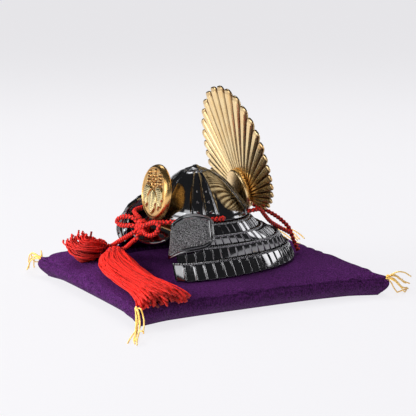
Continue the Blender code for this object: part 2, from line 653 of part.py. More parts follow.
# Tassels: stations along the middle line with half width, half height and lift above the cushion
TASSEL_A = (
    (-0.0412, -0.0623, 0.0265, 0.0028, 0.0028), (-0.0416, -0.0640, 0.0263, 0.0050, 0.0046),
    (-0.0402, -0.0674, 0.0267, 0.0062, 0.0056), (-0.0376, -0.0716, 0.0267, 0.0060, 0.0054),
    (-0.0346, -0.0760, 0.0262, 0.0090, 0.0080), (-0.0322, -0.0806, 0.0257, 0.0108, 0.0092),
    (-0.0328, -0.0844, 0.0263, 0.0114, 0.0092), (-0.0368, -0.0858, 0.0286, 0.0118, 0.0082),
    (-0.0414, -0.0845, 0.0320, 0.0120, 0.0066), (-0.0434, -0.0826, 0.0352, 0.0122, 0.0050),
)
TASSEL_B = (
    (-0.0226, -0.0608, 0.0267, 0.0028, 0.0026), (-0.0226, -0.0624, 0.0263, 0.0052, 0.0040),
    (-0.0180, -0.0652, 0.0257, 0.0070, 0.0046), (-0.0095, -0.0690, 0.0249, 0.0088, 0.0047),
    (0.0012, -0.0729, 0.0240, 0.0108, 0.0046), (0.0155, -0.0766, 0.0230, 0.0122, 0.0043),
    (0.0335, -0.0794, 0.0221, 0.0122, 0.0040), (0.0500, -0.0802, 0.0213, 0.0122, 0.0038),
    (0.0640, -0.0797, 0.0202, 0.0134, 0.0037), (0.0745, -0.0788, 0.0184, 0.0152, 0.0036),
    (0.0812, -0.0782, 0.0160, 0.0162, 0.0035), (0.0846, -0.0778, 0.0136, 0.0166, 0.0034),
)
LOCKS = 6
TASSEL_POINTS = 24


def build_tassel(name, stations, paint, rest):
    middle = np.array([s[:3] for s in stations])
    along = np.gradient(middle, axis=0)
    rings = []
    last = len(stations) - 1
    for i, (x, y, z, half, tall) in enumerate(stations):
        run = along[i] / np.linalg.norm(along[i])
        side = np.cross(run, (0.0, 0.0, 1.0))
        side /= np.linalg.norm(side)
        rise = np.cross(side, run)
        lock = 0.0 if i < 4 else 0.07 + 0.02 * (i - 4)
        ring = []
        for j, t in enumerate(np.linspace(0, 2 * math.pi, TASSEL_POINTS, endpoint=False)):
            swell = 1.0 + lock * math.cos(LOCKS * t)
            spot = middle[i] + side * half * swell * math.cos(t) + rise * tall * swell * math.sin(t)
            if i == last:
                spot = spot + run * 0.0018 * math.cos(LOCKS * t) + run * 0.0009 * math.cos(4 * t + 1.0)
            floor = cushion_top(spot[0], spot[1]) + 4 * GAP if rest else -1.0
            ring.append((spot[0], spot[1], max(spot[2], floor)))
        rings.append(ring)
    cap = np.mean(np.array(rings[-1]), axis=0) - along[-1] / np.linalg.norm(along[-1]) * 0.0010
    first = middle[0] - along[0] / np.linalg.norm(along[0]) * 0.0006
    loft(name, rings, paint, start=tuple(first), end=tuple(cap), smooth=True)


CORNER_TIES = {
    "front_left": ((0.0045, -0.0018, -0.0008), (0.0095, -0.0038, -0.0070), (0.0165, -0.0080, -0.0102),
                   (0.0260, -0.0132, -0.0106), (0.0345, -0.0165, -0.0108)),
    "rear_left": ((0.0010, 0.0045, 0.0000), (-0.0010, 0.0100, -0.0035), (-0.0045, 0.0160, -0.0078),
                  (-0.0080, 0.0215, -0.0098), (-0.0105, 0.0260, -0.0104)),
    "rear_right": ((0.0020, 0.0048, 0.0010), (0.0075, 0.0095, -0.0008), (0.0150, 0.0130, -0.0055),
                   (0.0215, 0.0150, -0.0092), (0.0265, 0.0165, -0.0102)),
    "front_right": ((-0.0045, -0.0010, 0.0022), (-0.0105, -0.0005, 0.0012), (-0.0160, 0.0008, -0.0040),
                    (-0.0200, 0.0018, -0.0085), (-0.0235, 0.0026, -0.0102)),
}
TIE_SHAPE = ((0.0006, 0.0006), (0.0018, 0.0017), (0.0014, 0.0013), (0.0022, 0.0016), (0.0030, 0.0016),
             (0.0036, 0.0015), (0.0038, 0.0013), (0.0032, 0.0010))


def build_tie(name, corner, steps):
    x, y = CUSHION_CORNERS[corner]
    away = np.array(steps[0]) / np.linalg.norm(steps[0])
    tip = np.array((x, y, SEAM_HEIGHT))
    points = [tip + away * (TIE_SHAPE[0][0] + GAP)] + [tip + np.array(step) for step in steps]
    route = smooth_route(points, 0.0001)
    picks = np.linspace(0, len(route) - 1, len(TIE_SHAPE)).astype(int)
    middle = route[picks]
    along = np.gradient(middle, axis=0)
    rings = []
    for i, (half, tall) in enumerate(TIE_SHAPE):
        run = along[i] / np.linalg.norm(along[i])
        side = np.cross(run, (0.0, 0.0, 1.0))
        side /= np.linalg.norm(side)
        rise = np.cross(side, run)
        ring = []
        for t in np.linspace(0, 2 * math.pi, 10, endpoint=False):
            swell = 1.0 + (0.10 if i > 2 else 0.0) * math.cos(5 * t)
            spot = middle[i] + side * half * swell * math.cos(t) + rise * tall * swell * math.sin(t)
            ring.append((spot[0], spot[1], max(spot[2], 0.0004)))
        rings.append(ring)
    loft(name, rings, YELLOW)


build_cushion()
build_bowl()
build_rosette()
for index, tier in enumerate(("neck_tier_1", "neck_tier_2", "neck_tier_3")):
    build_tier(tier, index, False, TIER_FRONT)
build_tier("neck_tier_4", 3, True, RIM_FRONT)
build_turn_back("turn_back_left", 1)
build_turn_back("turn_back_right", -1)
build_visor()
build_disc()
build_fan()
build_boss()
ball("bow_knot", KNOT, KNOT_SIZE, RED)
cord("cord_side_left", SIDE_RUN, CORD_RADIUS, RED)
cord("cord_side_right", mirror(SIDE_RUN[:-1]) + [knot_end(mirror(SIDE_RUN[-2:-1])[0])], CORD_RADIUS, RED)
cord("bow_loop_left", NEAR_LOOP, CORD_RADIUS, RED, 0.0036)
cord("bow_loop_right", FAR_LOOP, CORD_RADIUS, RED, 0.0036)
cord("bow_tail_1", TAIL_ONE, CORD_RADIUS, RED)
cord("bow_tail_2", TAIL_TWO, CORD_RADIUS, RED)
cord("rear_cord_left", REAR_NEAR, CORD_RADIUS, RED)
cord("rear_cord_right", REAR_FAR, CORD_RADIUS, RED)
build_tassel("tassel_1", TASSEL_A, RED, True)
build_tassel("tassel_2", TASSEL_B, RED, True)
for tie_corner, tie_steps in CORNER_TIES.items():
    build_tie("corner_tie_" + tie_corner, tie_corner, tie_steps)
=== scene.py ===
import math

import bpy
import numpy as np
from mathutils import Matrix, Vector, noise


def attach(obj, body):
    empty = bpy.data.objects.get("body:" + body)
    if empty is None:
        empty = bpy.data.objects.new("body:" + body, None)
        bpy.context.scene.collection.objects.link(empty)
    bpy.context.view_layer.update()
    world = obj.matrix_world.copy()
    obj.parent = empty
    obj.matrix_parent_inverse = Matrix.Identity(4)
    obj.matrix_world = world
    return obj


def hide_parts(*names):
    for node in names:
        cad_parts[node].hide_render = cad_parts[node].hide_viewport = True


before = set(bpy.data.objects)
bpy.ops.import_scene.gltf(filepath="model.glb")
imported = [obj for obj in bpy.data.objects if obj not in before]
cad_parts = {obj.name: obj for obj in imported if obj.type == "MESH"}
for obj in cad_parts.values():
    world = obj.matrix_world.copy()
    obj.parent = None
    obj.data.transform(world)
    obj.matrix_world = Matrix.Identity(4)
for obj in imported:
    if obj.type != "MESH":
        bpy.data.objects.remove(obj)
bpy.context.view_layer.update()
rng = np.random.default_rng(7)

# Sizes taken over from the solids, in metres
BOWL_RADIUS = 0.0343
BOWL_CENTRE_Y = -0.0083
BOWL_BASE = 0.0525
BOWL_HEIGHT = 0.0326
BOWL_BROW = 0.90
BOWL_WALL = 0.0016
CROWN_SHIFT = -0.0022
RIDGES = (13.0, 54.3, 70.5, 85.5, 136.0, 152.0, 168.0)
ROWS = (
    (0.0352, -0.0083, 0.0355, 0.0518),
    (0.0408, -0.0120, 0.0490, 0.0445),
    (0.0430, -0.0120, 0.0640, 0.0375),
    (0.0475, -0.0250, 0.0860, 0.0288),
    (0.0530, -0.0280, 0.0940, 0.0170),
)
TIER_FRONT = -0.0470
RIM_FRONT = -0.0498
CORNERS = ((0.085, -0.0985), (0.090, 0.091), (-0.080, 0.095), (-0.081, -0.096))
MID_X, MID_Y = 0.075, 0.088
SEAM = 0.013
DISC_RADIUS = 0.0196
DISC_CENTRE = np.array((0.0, -0.0435, 0.0704))
FAN_HUB = np.array((0.0, 0.0296, 0.0620))
CORD_RADIUS = 0.0014
KNOT = np.array((0.0016, -0.0534, 0.0468))

# The camera that was fitted to the photograph, in pixels of its 416 pixel side
PHOTO_SIDE = 416
CAMERA_ANGLES = (61.4486, 10.8014)
FOCAL_PIXELS = 1404.3104
SHIFT_PIXELS = (-0.700848, 7.401574)
SENSOR = 36.0
AIM = Vector((0.0, 0.0, 0.05))


def direction(azimuth, elevation):
    azimuth, elevation = math.radians(azimuth), math.radians(elevation)
    level = math.cos(elevation)
    return Vector((math.sin(azimuth) * level, -math.cos(azimuth) * level, math.sin(elevation)))


def place_camera():
    azimuth = math.radians(CAMERA_ANGLES[0])
    back = direction(*CAMERA_ANGLES)
    right = Vector((math.cos(azimuth), math.sin(azimuth), 0.0))
    up = back.cross(right)
    data = bpy.data.cameras.new("camera")
    data.sensor_width = SENSOR
    data.lens = SENSOR * FOCAL_PIXELS / PHOTO_SIDE
    data.shift_x = SHIFT_PIXELS[0] / PHOTO_SIDE
    data.shift_y = SHIFT_PIXELS[1] / PHOTO_SIDE
    data.clip_start = 0.01
    camera = bpy.data.objects.new("camera", data)
    turned = Matrix((right, up, back)).transposed().to_4x4()
    camera.matrix_world = Matrix.Translation(AIM + back) @ turned
    bpy.context.scene.collection.objects.link(camera)
    bpy.context.scene.camera = camera


# Materials, each with its values on one shader
class Nodes:
    def __init__(self, name, **values):
        self.material = bpy.data.materials.new(name)
        self.material.use_nodes = True
        self.tree = self.material.node_tree
        self.shader = self.tree.nodes["Principled BSDF"]
        for key, value in values.items():
            self.shader.inputs[key.replace("_", " ")].default_value = value
        self.place = self.add("ShaderNodeTexCoord").outputs["Object"]

    def add(self, kind, **values):
        node = self.tree.nodes.new(kind)
        for key, value in values.items():
            setattr(node, key, value)
        return node

    def feed(self, socket, value):
        if isinstance(value, (int, float)):
            socket.default_value = value
        elif isinstance(value, tuple):
            socket.default_value = (*value, 1.0)
        else:
            self.tree.links.new(value, socket)

    def filled(self, kind, output, **values):
        node = self.add(kind)
        for key, value in values.items():
            self.feed(node.inputs[key.replace("_", " ")], value)
        return node.outputs[output]

    def noise(self, scale, detail=3.0, vector=None, rough=0.5):
        return self.filled("ShaderNodeTexNoise", "Fac", Scale=scale, Detail=detail, Roughness=rough,
                           Vector=vector or self.place)

    def cells(self, scale):
        return self.filled("ShaderNodeTexVoronoi", "Distance", Scale=scale, Vector=self.place)

    def stretched(self, scale):
        node = self.add("ShaderNodeMapping")
        node.inputs["Scale"].default_value = scale
        self.feed(node.inputs["Vector"], self.place)
        return node.outputs["Vector"]

    def attribute(self, name):
        return self.add("ShaderNodeAttribute", attribute_name=name).outputs["Fac"]

    def ramp(self, value, *stops):
        node = self.add("ShaderNodeValToRGB")
        for element, (spot, colour) in zip(node.color_ramp.elements, stops):
            element.position = spot
            element.color = (*colour, 1.0)
        self.feed(node.inputs["Fac"], value)
        return node.outputs["Color"]

    def span(self, value, low, high, start, end):
        return self.filled("ShaderNodeMapRange", "Result", From_Min=low, From_Max=high, To_Min=start,
                           To_Max=end, Value=value)

    def maths(self, operation, a, b):
        node = self.add("ShaderNodeMath", operation=operation)
        self.feed(node.inputs[0], a)
        self.feed(node.inputs[1], b)
        return node.outputs[0]

    def mix(self, share, a, b):
        node = self.add("ShaderNodeMix", data_type="RGBA")
        for socket, value in ((0, share), (6, a), (7, b)):
            self.feed(node.inputs[socket], value)
        return node.outputs[2]

    def finish(self, colour, height, distance, strength, rough=None):
        self.feed(self.shader.inputs["Base Color"], colour)
        if rough is not None:
            self.feed(self.shader.inputs["Roughness"], rough)
        normal = self.filled("ShaderNodeBump", "Normal", Distance=distance, Strength=strength, Height=height)
        self.feed(self.shader.inputs["Normal"], normal)
        return self.material


def black_gloss(name):
    m = Nodes(name, Metallic=1.0)
    colour = m.ramp(m.noise(90.0, 4.0), (0.3, (0.185, 0.185, 0.192)), (0.7, (0.245, 0.244, 0.252)))
    rough = m.span(m.noise(900.0), 0.3, 0.7, 0.07, 0.15)
    return m.finish(colour, m.noise(160.0, 2.0), 0.00004, 0.4, rough)


# The attribute called field is 1 where the plate is grained and 0 on its smooth border
def black_grained(name):
    m = Nodes(name, Metallic=1.0)
    field = m.attribute("field")
    wrinkle = m.noise(1250.0, rough=0.6)
    height = m.maths("ADD", m.maths("MULTIPLY", m.cells(1150.0), 0.9), m.maths("MULTIPLY", wrinkle, 0.8))
    grained = m.ramp(wrinkle, (0.38, (0.06, 0.06, 0.062)), (0.64, (0.50, 0.50, 0.51)))
    colour = m.mix(field, (0.20, 0.20, 0.205), grained)
    rough = m.maths("ADD", m.maths("MULTIPLY", field, 0.22), 0.14)
    return m.finish(colour, m.maths("MULTIPLY", height, field), 0.00075, 1.0, rough)


# The attribute called pale is the share of a paler gold: the leaves' own paler tone on the disc, and a
# painted highlight on the fan's crests. The attribute called dark is the share of painted shade in grooves,
# recesses and valleys.
def gold(name, low, high):
    m = Nodes(name, Metallic=1.0)
    fine = m.noise(1400.0)
    base = m.mix(m.attribute("pale"), m.ramp(m.noise(120.0), (0.3, low), (0.7, high)), (0.84, 0.70, 0.36))
    colour = m.mix(m.attribute("dark"), base, (0.10, 0.036, 0.008))
    return m.finish(colour, fine, 0.00005, 0.5, m.span(fine, 0.3, 0.7, 0.20, 0.34))


# The attribute called dark is the share of painted shade, mixed towards a near black red: in the braid's
# crevices and between a tassel's threads
def red_thread(name, fibre_scale):
    m = Nodes(name, Roughness=0.62, Sheen_Weight=0.10, Sheen_Roughness=0.4, Sheen_Tint=(1.0, 0.20, 0.15, 1.0))
    base = m.ramp(m.noise(400.0), (0.3, (0.72, 0.010, 0.006)), (0.7, (0.92, 0.028, 0.016)))
    colour = m.mix(m.attribute("dark"), base, (0.055, 0.0005, 0.0005))
    return m.finish(colour, m.noise(fibre_scale, 2.0), 0.00012, 0.6)


def yellow_thread(name):
    m = Nodes(name, Roughness=0.5, Sheen_Weight=0.3)
    colour = m.ramp(m.noise(500.0, 2.0), (0.3, (0.88, 0.48, 0.07)), (0.7, (1.0, 0.72, 0.20)))
    return m.finish(colour, m.noise(2600.0, 2.0), 0.00012, 0.6)


def crepe(name):
    m = Nodes(name, Roughness=0.9, Sheen_Weight=0.03, Sheen_Roughness=0.35,
              Sheen_Tint=(0.50, 0.16, 0.70, 1.0), Specular_IOR_Level=0.15)
    crinkle = m.noise(760.0, 5.0, m.stretched((1.0, 1.35, 1.0)), 0.66)
    threads = m.ramp(crinkle, (0.38, (0.010, 0.0015, 0.015)), (0.62, (0.104, 0.018, 0.140)))
    cloud = m.ramp(m.noise(45.0), (0.3, (0.036, 0.007, 0.048)), (0.7, (0.062, 0.014, 0.080)))
    height = m.maths("ADD", crinkle, m.maths("MULTIPLY", m.cells(900.0), 0.6))
    return m.finish(m.mix(0.25, threads, cloud), height, 0.00060, 0.9)


# Each paint is a material and the name of its slot
BLACK = (black_gloss("black_gloss"), "black_plating")
GRAINED = (black_grained("black_grained"), "black_plating")
GOLD = (gold("gold_polished", (0.93, 0.62, 0.28), (1.0, 0.77, 0.42)), "gold_plating")
DEEP_GOLD = (gold("gold_deep", (0.80, 0.46, 0.15), (0.96, 0.62, 0.25)), "gold_plating")
RED = (red_thread("red_braid", 2400.0), "red_cord")
STRAND = (red_thread("red_strand", 3200.0), "red_cord")
YELLOW = (yellow_thread("yellow_strand"), "yellow_cord")
CREPE = (crepe("purple_crepe_cloth"), "purple_crepe")


# Mesh helpers
def metres(rows):
    return [tuple(round(value / 1000, 7) for value in row) for row in rows]


def circle(count):
    return np.linspace(0, 2 * math.pi, count, endpoint=False)


def unit(vectors):
    return vectors / np.linalg.norm(vectors, axis=-1, keepdims=True)


def run_along(points):
    return np.concatenate([[0.0], np.cumsum(np.linalg.norm(np.diff(points, axis=0), axis=1))])


def interp_rows(at, marks, rows):
    return np.stack([np.interp(at, marks, rows[:, k]) for k in range(rows.shape[1])], axis=-1)


def smoothstep(x, low, high):
    t = np.clip((x - low) / (high - low), 0.0, 1.0)
    return t * t * (3 - 2 * t)


# Quads between rings of points, each ring closed on itself
def grid(rings, around):
    r, c = np.meshgrid(np.arange(rings - 1), np.arange(around), indexing="ij")
    after = (c + 1) % around
    low, high = r * around, (r + 1) * around
    return np.stack([low + c, low + after, high + after, high + c], axis=-1).reshape(-1, 4).tolist()


def capped(rings, around, reverse=False):
    first = list(range(around))
    last = [(rings - 1) * around + i for i in first]
    return grid(rings, around) + ([first, last[::-1]] if reverse else [first[::-1], last])


def spokes(tip, start, around):
    return [[tip, start + j, start + (j + 1) % around] for j in range(around)]


def piece(name, points, faces, paint, node=None, smooth=True, fields=None):
    material, slot = paint
    mesh = bpy.data.meshes.new(name)
    mesh.from_pydata(np.asarray(points, float).tolist(), [], faces)
    for key, values in (fields or {}).items():
        layer = mesh.attributes.new(key, "FLOAT", "POINT")
        layer.data.foreach_set("value", np.asarray(values, dtype=np.float32))
    mesh.materials.append(material)
    mesh.polygons.foreach_set("use_smooth", [smooth] * len(mesh.polygons))
    mesh.validate()
    made = bpy.data.objects.new(name, mesh)
    bpy.context.scene.collection.objects.link(made)
    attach(made, "root")
    if node:
        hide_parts(node)
    return made


# A smooth line through the points, cut into even steps
def smooth_route(points, step):
    points = np.array(points, float)
    ends = np.vstack([2 * points[0] - points[1], points, 2 * points[-1] - points[-2]])
    t = np.linspace(0.0, 1.0, 24, endpoint=False)[:, None]
    fine = []
    for i in range(len(points) - 1):
        a, b, c, d = ends[i:i + 4]
        fine.append(0.5 * (2 * b + (c - a) * t + (2 * a - 5 * b + 4 * c - d) * t ** 2
                           + (3 * b - a - 3 * c + d) * t ** 3))
    fine = np.vstack(fine + [points[-1:]])
    run = run_along(fine)
    count = max(2, int(round(run[-1] / step)) + 1)
    return interp_rows(np.linspace(0.0, run[-1], count), run, fine)


def frames_along(route, start_up):
    up = np.array(start_up, float)
    sides, ups = [], []
    for along in unit(np.gradient(route, axis=0)):
        up = up - along * np.dot(up, along)
        if np.linalg.norm(up) < 1e-6:
            up = np.cross(along, (1.0, 0.0, 0.0))
        up = unit(up)
        ups.append(up)
        sides.append(np.cross(along, up))
    return np.array(sides), np.array(ups)


def tube(route, radius, around, start_up=(0.0, 0.0, 1.0), shape=1.0):
    side, up = frames_along(route, start_up)
    turn = circle(around)
    reach = np.broadcast_to(np.asarray(radius, float), (len(route),))[:, None] * np.ones(around) * shape
    points = (route[:, None, :] + side[:, None, :] * (reach * np.cos(turn))[:, :, None]
              + up[:, None, :] * (reach * np.sin(turn))[:, :, None])
    return points.reshape(-1, 3), capped(len(route), around)


def merge(parts):
    points, faces, base = [], [], 0
    for some_points, some_faces in parts:
        points.append(np.asarray(some_points))
        faces += [[i + base for i in face] for face in some_faces]
        base += len(some_points)
    return np.vstack(points), faces


# Bowl of the helmet: rows of reach and height, as shares of the bowl's own
PROFILE = (
    (1.000, 0.000), (1.000, 0.060), (0.968, 0.190), (0.874, 0.339), (0.728, 0.537),
    (0.550, 0.755), (0.400, 0.870), (0.284, 0.936), (0.140, 0.982), (0.0, 1.0),
)
PROFILE_SHARES, PROFILE_UPS = np.array(PROFILE).T
INNER_TOP = 1.0 - BOWL_WALL / BOWL_HEIGHT
RIDGE_STEPS = (0.4, 0.8, 1.2, 1.5, 1.8, 2.2, 2.6)
RIDGE_HEIGHT = 0.00135
LEDGE_HEIGHT = 0.00030
BASE_BAND = 0.0006
RIVET_ANGLES = (62.4, 78.0, 144.0, 160.0)
RIVET_ROWS = ((0.60, 0.00085), (0.40, 0.00105), (0.21, 0.00120))
RIVET_DOME = ((1.25, -0.2), (1.15, 0.12), (0.95, 0.18), (0.9, 0.5), (0.62, 0.88), (0.3, 1.02))
RIVET_TOP = 1.06
RIVET_AROUND = 14


def bowl_radius(angle):
    ahead = np.maximum(0.0, np.cos(np.radians(angle)))
    return BOWL_RADIUS * (1.0 - (1.0 - BOWL_BROW) * ahead ** 2)


def bowl_point(angle, share, up, out):
    reach = bowl_radius(angle) * share + out
    turn = np.radians(angle)
    back = BOWL_CENTRE_Y + CROWN_SHIFT * up - reach * np.cos(turn)
    return np.stack(np.broadcast_arrays(reach * np.sin(turn), back, BOWL_BASE + BOWL_HEIGHT * up), axis=-1)


def profile_fine(count):
    route = smooth_route([(s * BOWL_RADIUS, u * BOWL_HEIGHT) for s, u in PROFILE], 0.00005)
    picks = np.linspace(0, len(route) - 1, count).astype(int)
    return route[picks] / (BOWL_RADIUS, BOWL_HEIGHT)


def build_bowl():
    ridges = [sign * r for r in RIDGES for sign in (1, -1)]
    angles = set(np.arange(-180, 180, 2.5).round(3))
    for ridge in ridges:
        angles.add(round(ridge, 3))
        for step in RIDGE_STEPS:
            angles |= {round(ridge - step, 3), round(ridge + step, 3)}
    angles = np.array(sorted(angles))
    off = np.min(np.abs(angles[:, None] - np.array(ridges)[None, :]), axis=1)
    outer = profile_fine(64)
    rings = []
    for share, up in outer[1:][::-1][::3][1:]:
        rings.append(bowl_point(angles, share, up * INNER_TOP, -BOWL_WALL))
    for share, up in outer[:-1]:
        width = 0.55 + 0.95 * min(1.0, share * 1.2)
        away = off * max(0.30, min(1.0, share * 1.05))
        rib = RIDGE_HEIGHT * np.clip(1.0 - (away / width) ** 2, 0.0, 1.0) ** 0.6
        ledge = LEDGE_HEIGHT * smoothstep(-away, -2.3, -1.6)
        band = BASE_BAND * (1.0 - smoothstep(up, 0.035, 0.050))
        fade = smoothstep(up, 0.035, 0.07) * smoothstep(share, 0.08, 0.25)
        rings.append(bowl_point(angles, share, up, (rib + ledge) * fade + band))
    count, last = len(angles), (len(rings) - 1) * len(angles)
    tip = len(rings) * count
    points = np.vstack(rings + [bowl_point(0.0, 0.0, INNER_TOP, 0.0), bowl_point(0.0, 0.0, 1.0, 0.0)])
    faces = grid(len(rings), count) + [[low, b, a] for low, a, b in spokes(tip, 0, count)]
    piece("bowl_shell", points, faces + spokes(tip + 1, last, count), BLACK, "bowl")
    rivets = []
    for angle in RIVET_ANGLES:
        for sign in (1, -1):
            for up, size in RIVET_ROWS:
                rivets.append(rivet(sign * angle, up, size, outer))
    points, faces = merge(rivets)
    piece("bowl_rivets", points, faces, BLACK)


def rivet(angle, up, size, outer):
    share, share_above = np.interp((up, up + 0.03), outer[:, 1], outer[:, 0])
    spot = bowl_point(angle, share, up, 0.0)
    across = bowl_point(angle + 1.0, share, up, 0.0) - spot
    out = unit(np.cross(across, bowl_point(angle, share_above, up + 0.03, 0.0) - spot))
    if np.dot(out, spot - (0, BOWL_CENTRE_Y, 0.05)) < 0:
        out = -out
    across = unit(across)
    turn = circle(RIVET_AROUND)
    round_it = np.outer(np.cos(turn), across) + np.outer(np.sin(turn), np.cross(out, across))
    rings = [spot + size * (reach * round_it + out * height) for reach, height in RIVET_DOME]
    last = (len(rings) - 1) * RIVET_AROUND
    faces = grid(len(rings), RIVET_AROUND) + spokes(last + RIVET_AROUND, last, RIVET_AROUND)
    return np.vstack(rings + [spot + out * size * RIVET_TOP]), faces


# Rows of the rosette: radius, lift and depth of the scallops
ROSETTE = (
    (0.0080, -0.0006, 0.20), (0.0084, 0.0004, 0.20), (0.0082, 0.0008, 0.19), (0.0074, 0.0011, 0.15),
    (0.0060, 0.0011, 0.08), (0.0046, 0.0010, 0.0), (0.0040, 0.0014, 0.0), (0.0036, 0.0014, 0.0),
    (0.0030, 0.0008, 0.0), (0.0027, 0.0009, 0.0), (0.0024, 0.0018, 0.0), (0.0017, 0.0023, 0.0),
    (0.0008, 0.0026, 0.0),
)
ROSETTE_TOP = 0.0027


def build_rosette():
    turns = circle(280)
    petals = np.abs(np.cos(7 * turns)) ** 0.7
    rings = []
    for radius, lift, scallop in ROSETTE:
        reach = radius * (1.0 - scallop + scallop * petals)
        up = np.interp(reach / BOWL_RADIUS, PROFILE_SHARES[::-1], PROFILE_UPS[::-1])
        rings.append(bowl_point(np.degrees(turns), 0.0, up, reach) + (0, 0, lift))
    points = np.vstack(rings + [bowl_point(0.0, 0.0, 1.0, 0.0) + (0, 0, ROSETTE_TOP)])
    last = (len(rings) - 1) * len(turns)
    faces = grid(len(rings), len(turns)) + spokes(len(points) - 1, last, len(turns))
    piece("rosette_petals", points, faces, BLACK, "crown_rosette")


# Neck guard tiers, each a curved plate with upright ribs
LAMELLAE = 38
STEPS_PER_LAMELLA = 18
TIER_INSIDE = (0.0, -0.02, 0.06)
TIER_BACK = 0.0010
RIB_HEIGHT = 0.00100
LACE_HEIGHT = 0.00075
LACE_HEIGHTS = (0.0012, 0.0015, 0.0018, 0.0022)
LACE_END = 0.0013
PLATE_LEVELS = (0.3, 0.45, 0.6, 0.75, 0.88, 0.95, 0.985, 1.0)


def row_points(row, t, front):
    half, centre, reach, height = ROWS[row]
    turn_in = 0.09 if front == RIM_FRONT else 0.04
    inside = np.abs(t) <= 1.0
    turn = np.clip(t, -1, 1) * math.pi / 2
    u = np.clip(np.abs(t) - 1.0, 0.0, 1.0)
    x = np.where(inside, half * np.sin(turn), np.sign(t) * half * (1.0 - 0.05 * u * u - turn_in * u ** 6))
    y = np.where(inside, centre + reach * np.cos(turn), centre + (front - centre) * u)
    return np.stack([x, y, np.full(len(t), height)], axis=-1)

def lamella_marks(row, front, marks):
    t = np.linspace(-2.0, 2.0, 4001)
    run = run_along(row_points(row, t, front))
    return row_points(row, np.interp(marks * run[-1], run, t), front)


def build_tier(node, row, last, front):
    marks = np.linspace(0.0, 1.0, LAMELLAE + 1)
    share = np.linspace(0.0, 1.0, LAMELLAE * STEPS_PER_LAMELLA + 1)
    upper = interp_rows(share, marks, lamella_marks(row, front, marks))
    lower = interp_rows(share, marks, lamella_marks(row + 1, front, marks))
    height = np.linalg.norm(lower - upper, axis=1).mean()
    out = unit(np.cross(lower - upper, np.gradient(lower, axis=0)))
    out *= np.sign(np.sum(out * (lower - TIER_INSIDE), axis=1))[:, None]
    if not last:
        lower = lower - out * 0.0017
        lower[:, 2] -= 0.0010
    phase = (share * LAMELLAE) % 1.0
    rib = np.clip(1.0 - np.minimum(phase, 1.0 - phase) / 0.075, 0.0, 1.0) ** 0.6
    belly = 0.00006 * (1.0 - (2 * phase - 1.0) ** 2)
    lean = 0.00016 * (0.5 - phase)
    dash = (share * LAMELLAE * 4.0) % 1.0
    tooth = smoothstep(0.5 - np.abs(dash - 0.5), 0.12, 0.26)
    rings = []
    for level in (0.0, 0.03, 0.06, *(z / height for z in LACE_HEIGHTS), *PLATE_LEVELS):
        body = smoothstep(level * height, LACE_END, 0.0022)
        relief = 0.0016 * level * (1 - level) + body * (belly + lean + RIB_HEIGHT * rib)
        lace = (1.0 - smoothstep(level * height, 0.0011, 0.0016)) * LACE_HEIGHT * tooth
        edge = 0.0 if level < 0.99 else -0.0003
        spot = upper + (lower - upper) * level + out * (relief + lace + edge)[:, None]
        if last and level > 0.9:
            spot[:, 2] += 0.0009 * (level - 0.9) / 0.1 * np.abs(2 * phase - 1.0) ** 7
        rings.append(spot)
    rings += [lower - out * TIER_BACK, upper - out * TIER_BACK]
    points = np.stack(rings, axis=1).reshape(-1, 3)
    piece(node + "_plates", points, capped(len(share), len(rings), True), BLACK, node)


# Turn-backs beside the face: share of the length, lower edge, upper edge, and bulge.
# SHARE_RUN is the length that the first column counts for where the rows are spaced.
TURN_BACK = (
    (-0.10, 0.0358, -0.0489, 0.0325, 0.0330, -0.0450, 0.0540, 0.0044),
    (-0.04, 0.0364, -0.0512, 0.0316, 0.0336, -0.0470, 0.0545, 0.0056),
    (0.00, 0.0385, -0.0520, 0.0312, 0.0350, -0.0474, 0.0550, 0.0060),
    (0.10, 0.0416, -0.0499, 0.0332, 0.0353, -0.0435, 0.0574, 0.0056),
    (0.22, 0.0453, -0.0463, 0.0356, 0.0360, -0.0394, 0.0595, 0.0048),
    (0.40, 0.0488, -0.0401, 0.0371, 0.0384, -0.0361, 0.0607, 0.0036),
    (0.58, 0.0510, -0.0346, 0.0380, 0.0416, -0.0318, 0.0611, 0.0028),
    (0.74, 0.0524, -0.0303, 0.0392, 0.0442, -0.0282, 0.0606, 0.0022),
    (0.86, 0.0529, -0.0273, 0.0410, 0.0461, -0.0256, 0.0594, 0.0016),
    (0.92, 0.0531, -0.0259, 0.0428, 0.0473, -0.0245, 0.0582, 0.0014),
    (1.00, 0.0530, -0.0242, 0.0462, 0.0490, -0.0232, 0.0557, 0.0010),
)
SHARE_RUN = 0.02
BULGE_WAY = np.array([0.90, -0.40, 0.0])
PLATE_THICKNESS = 0.0011
HEM_HEIGHT = 0.00110
LINE_HEIGHT = 0.00080


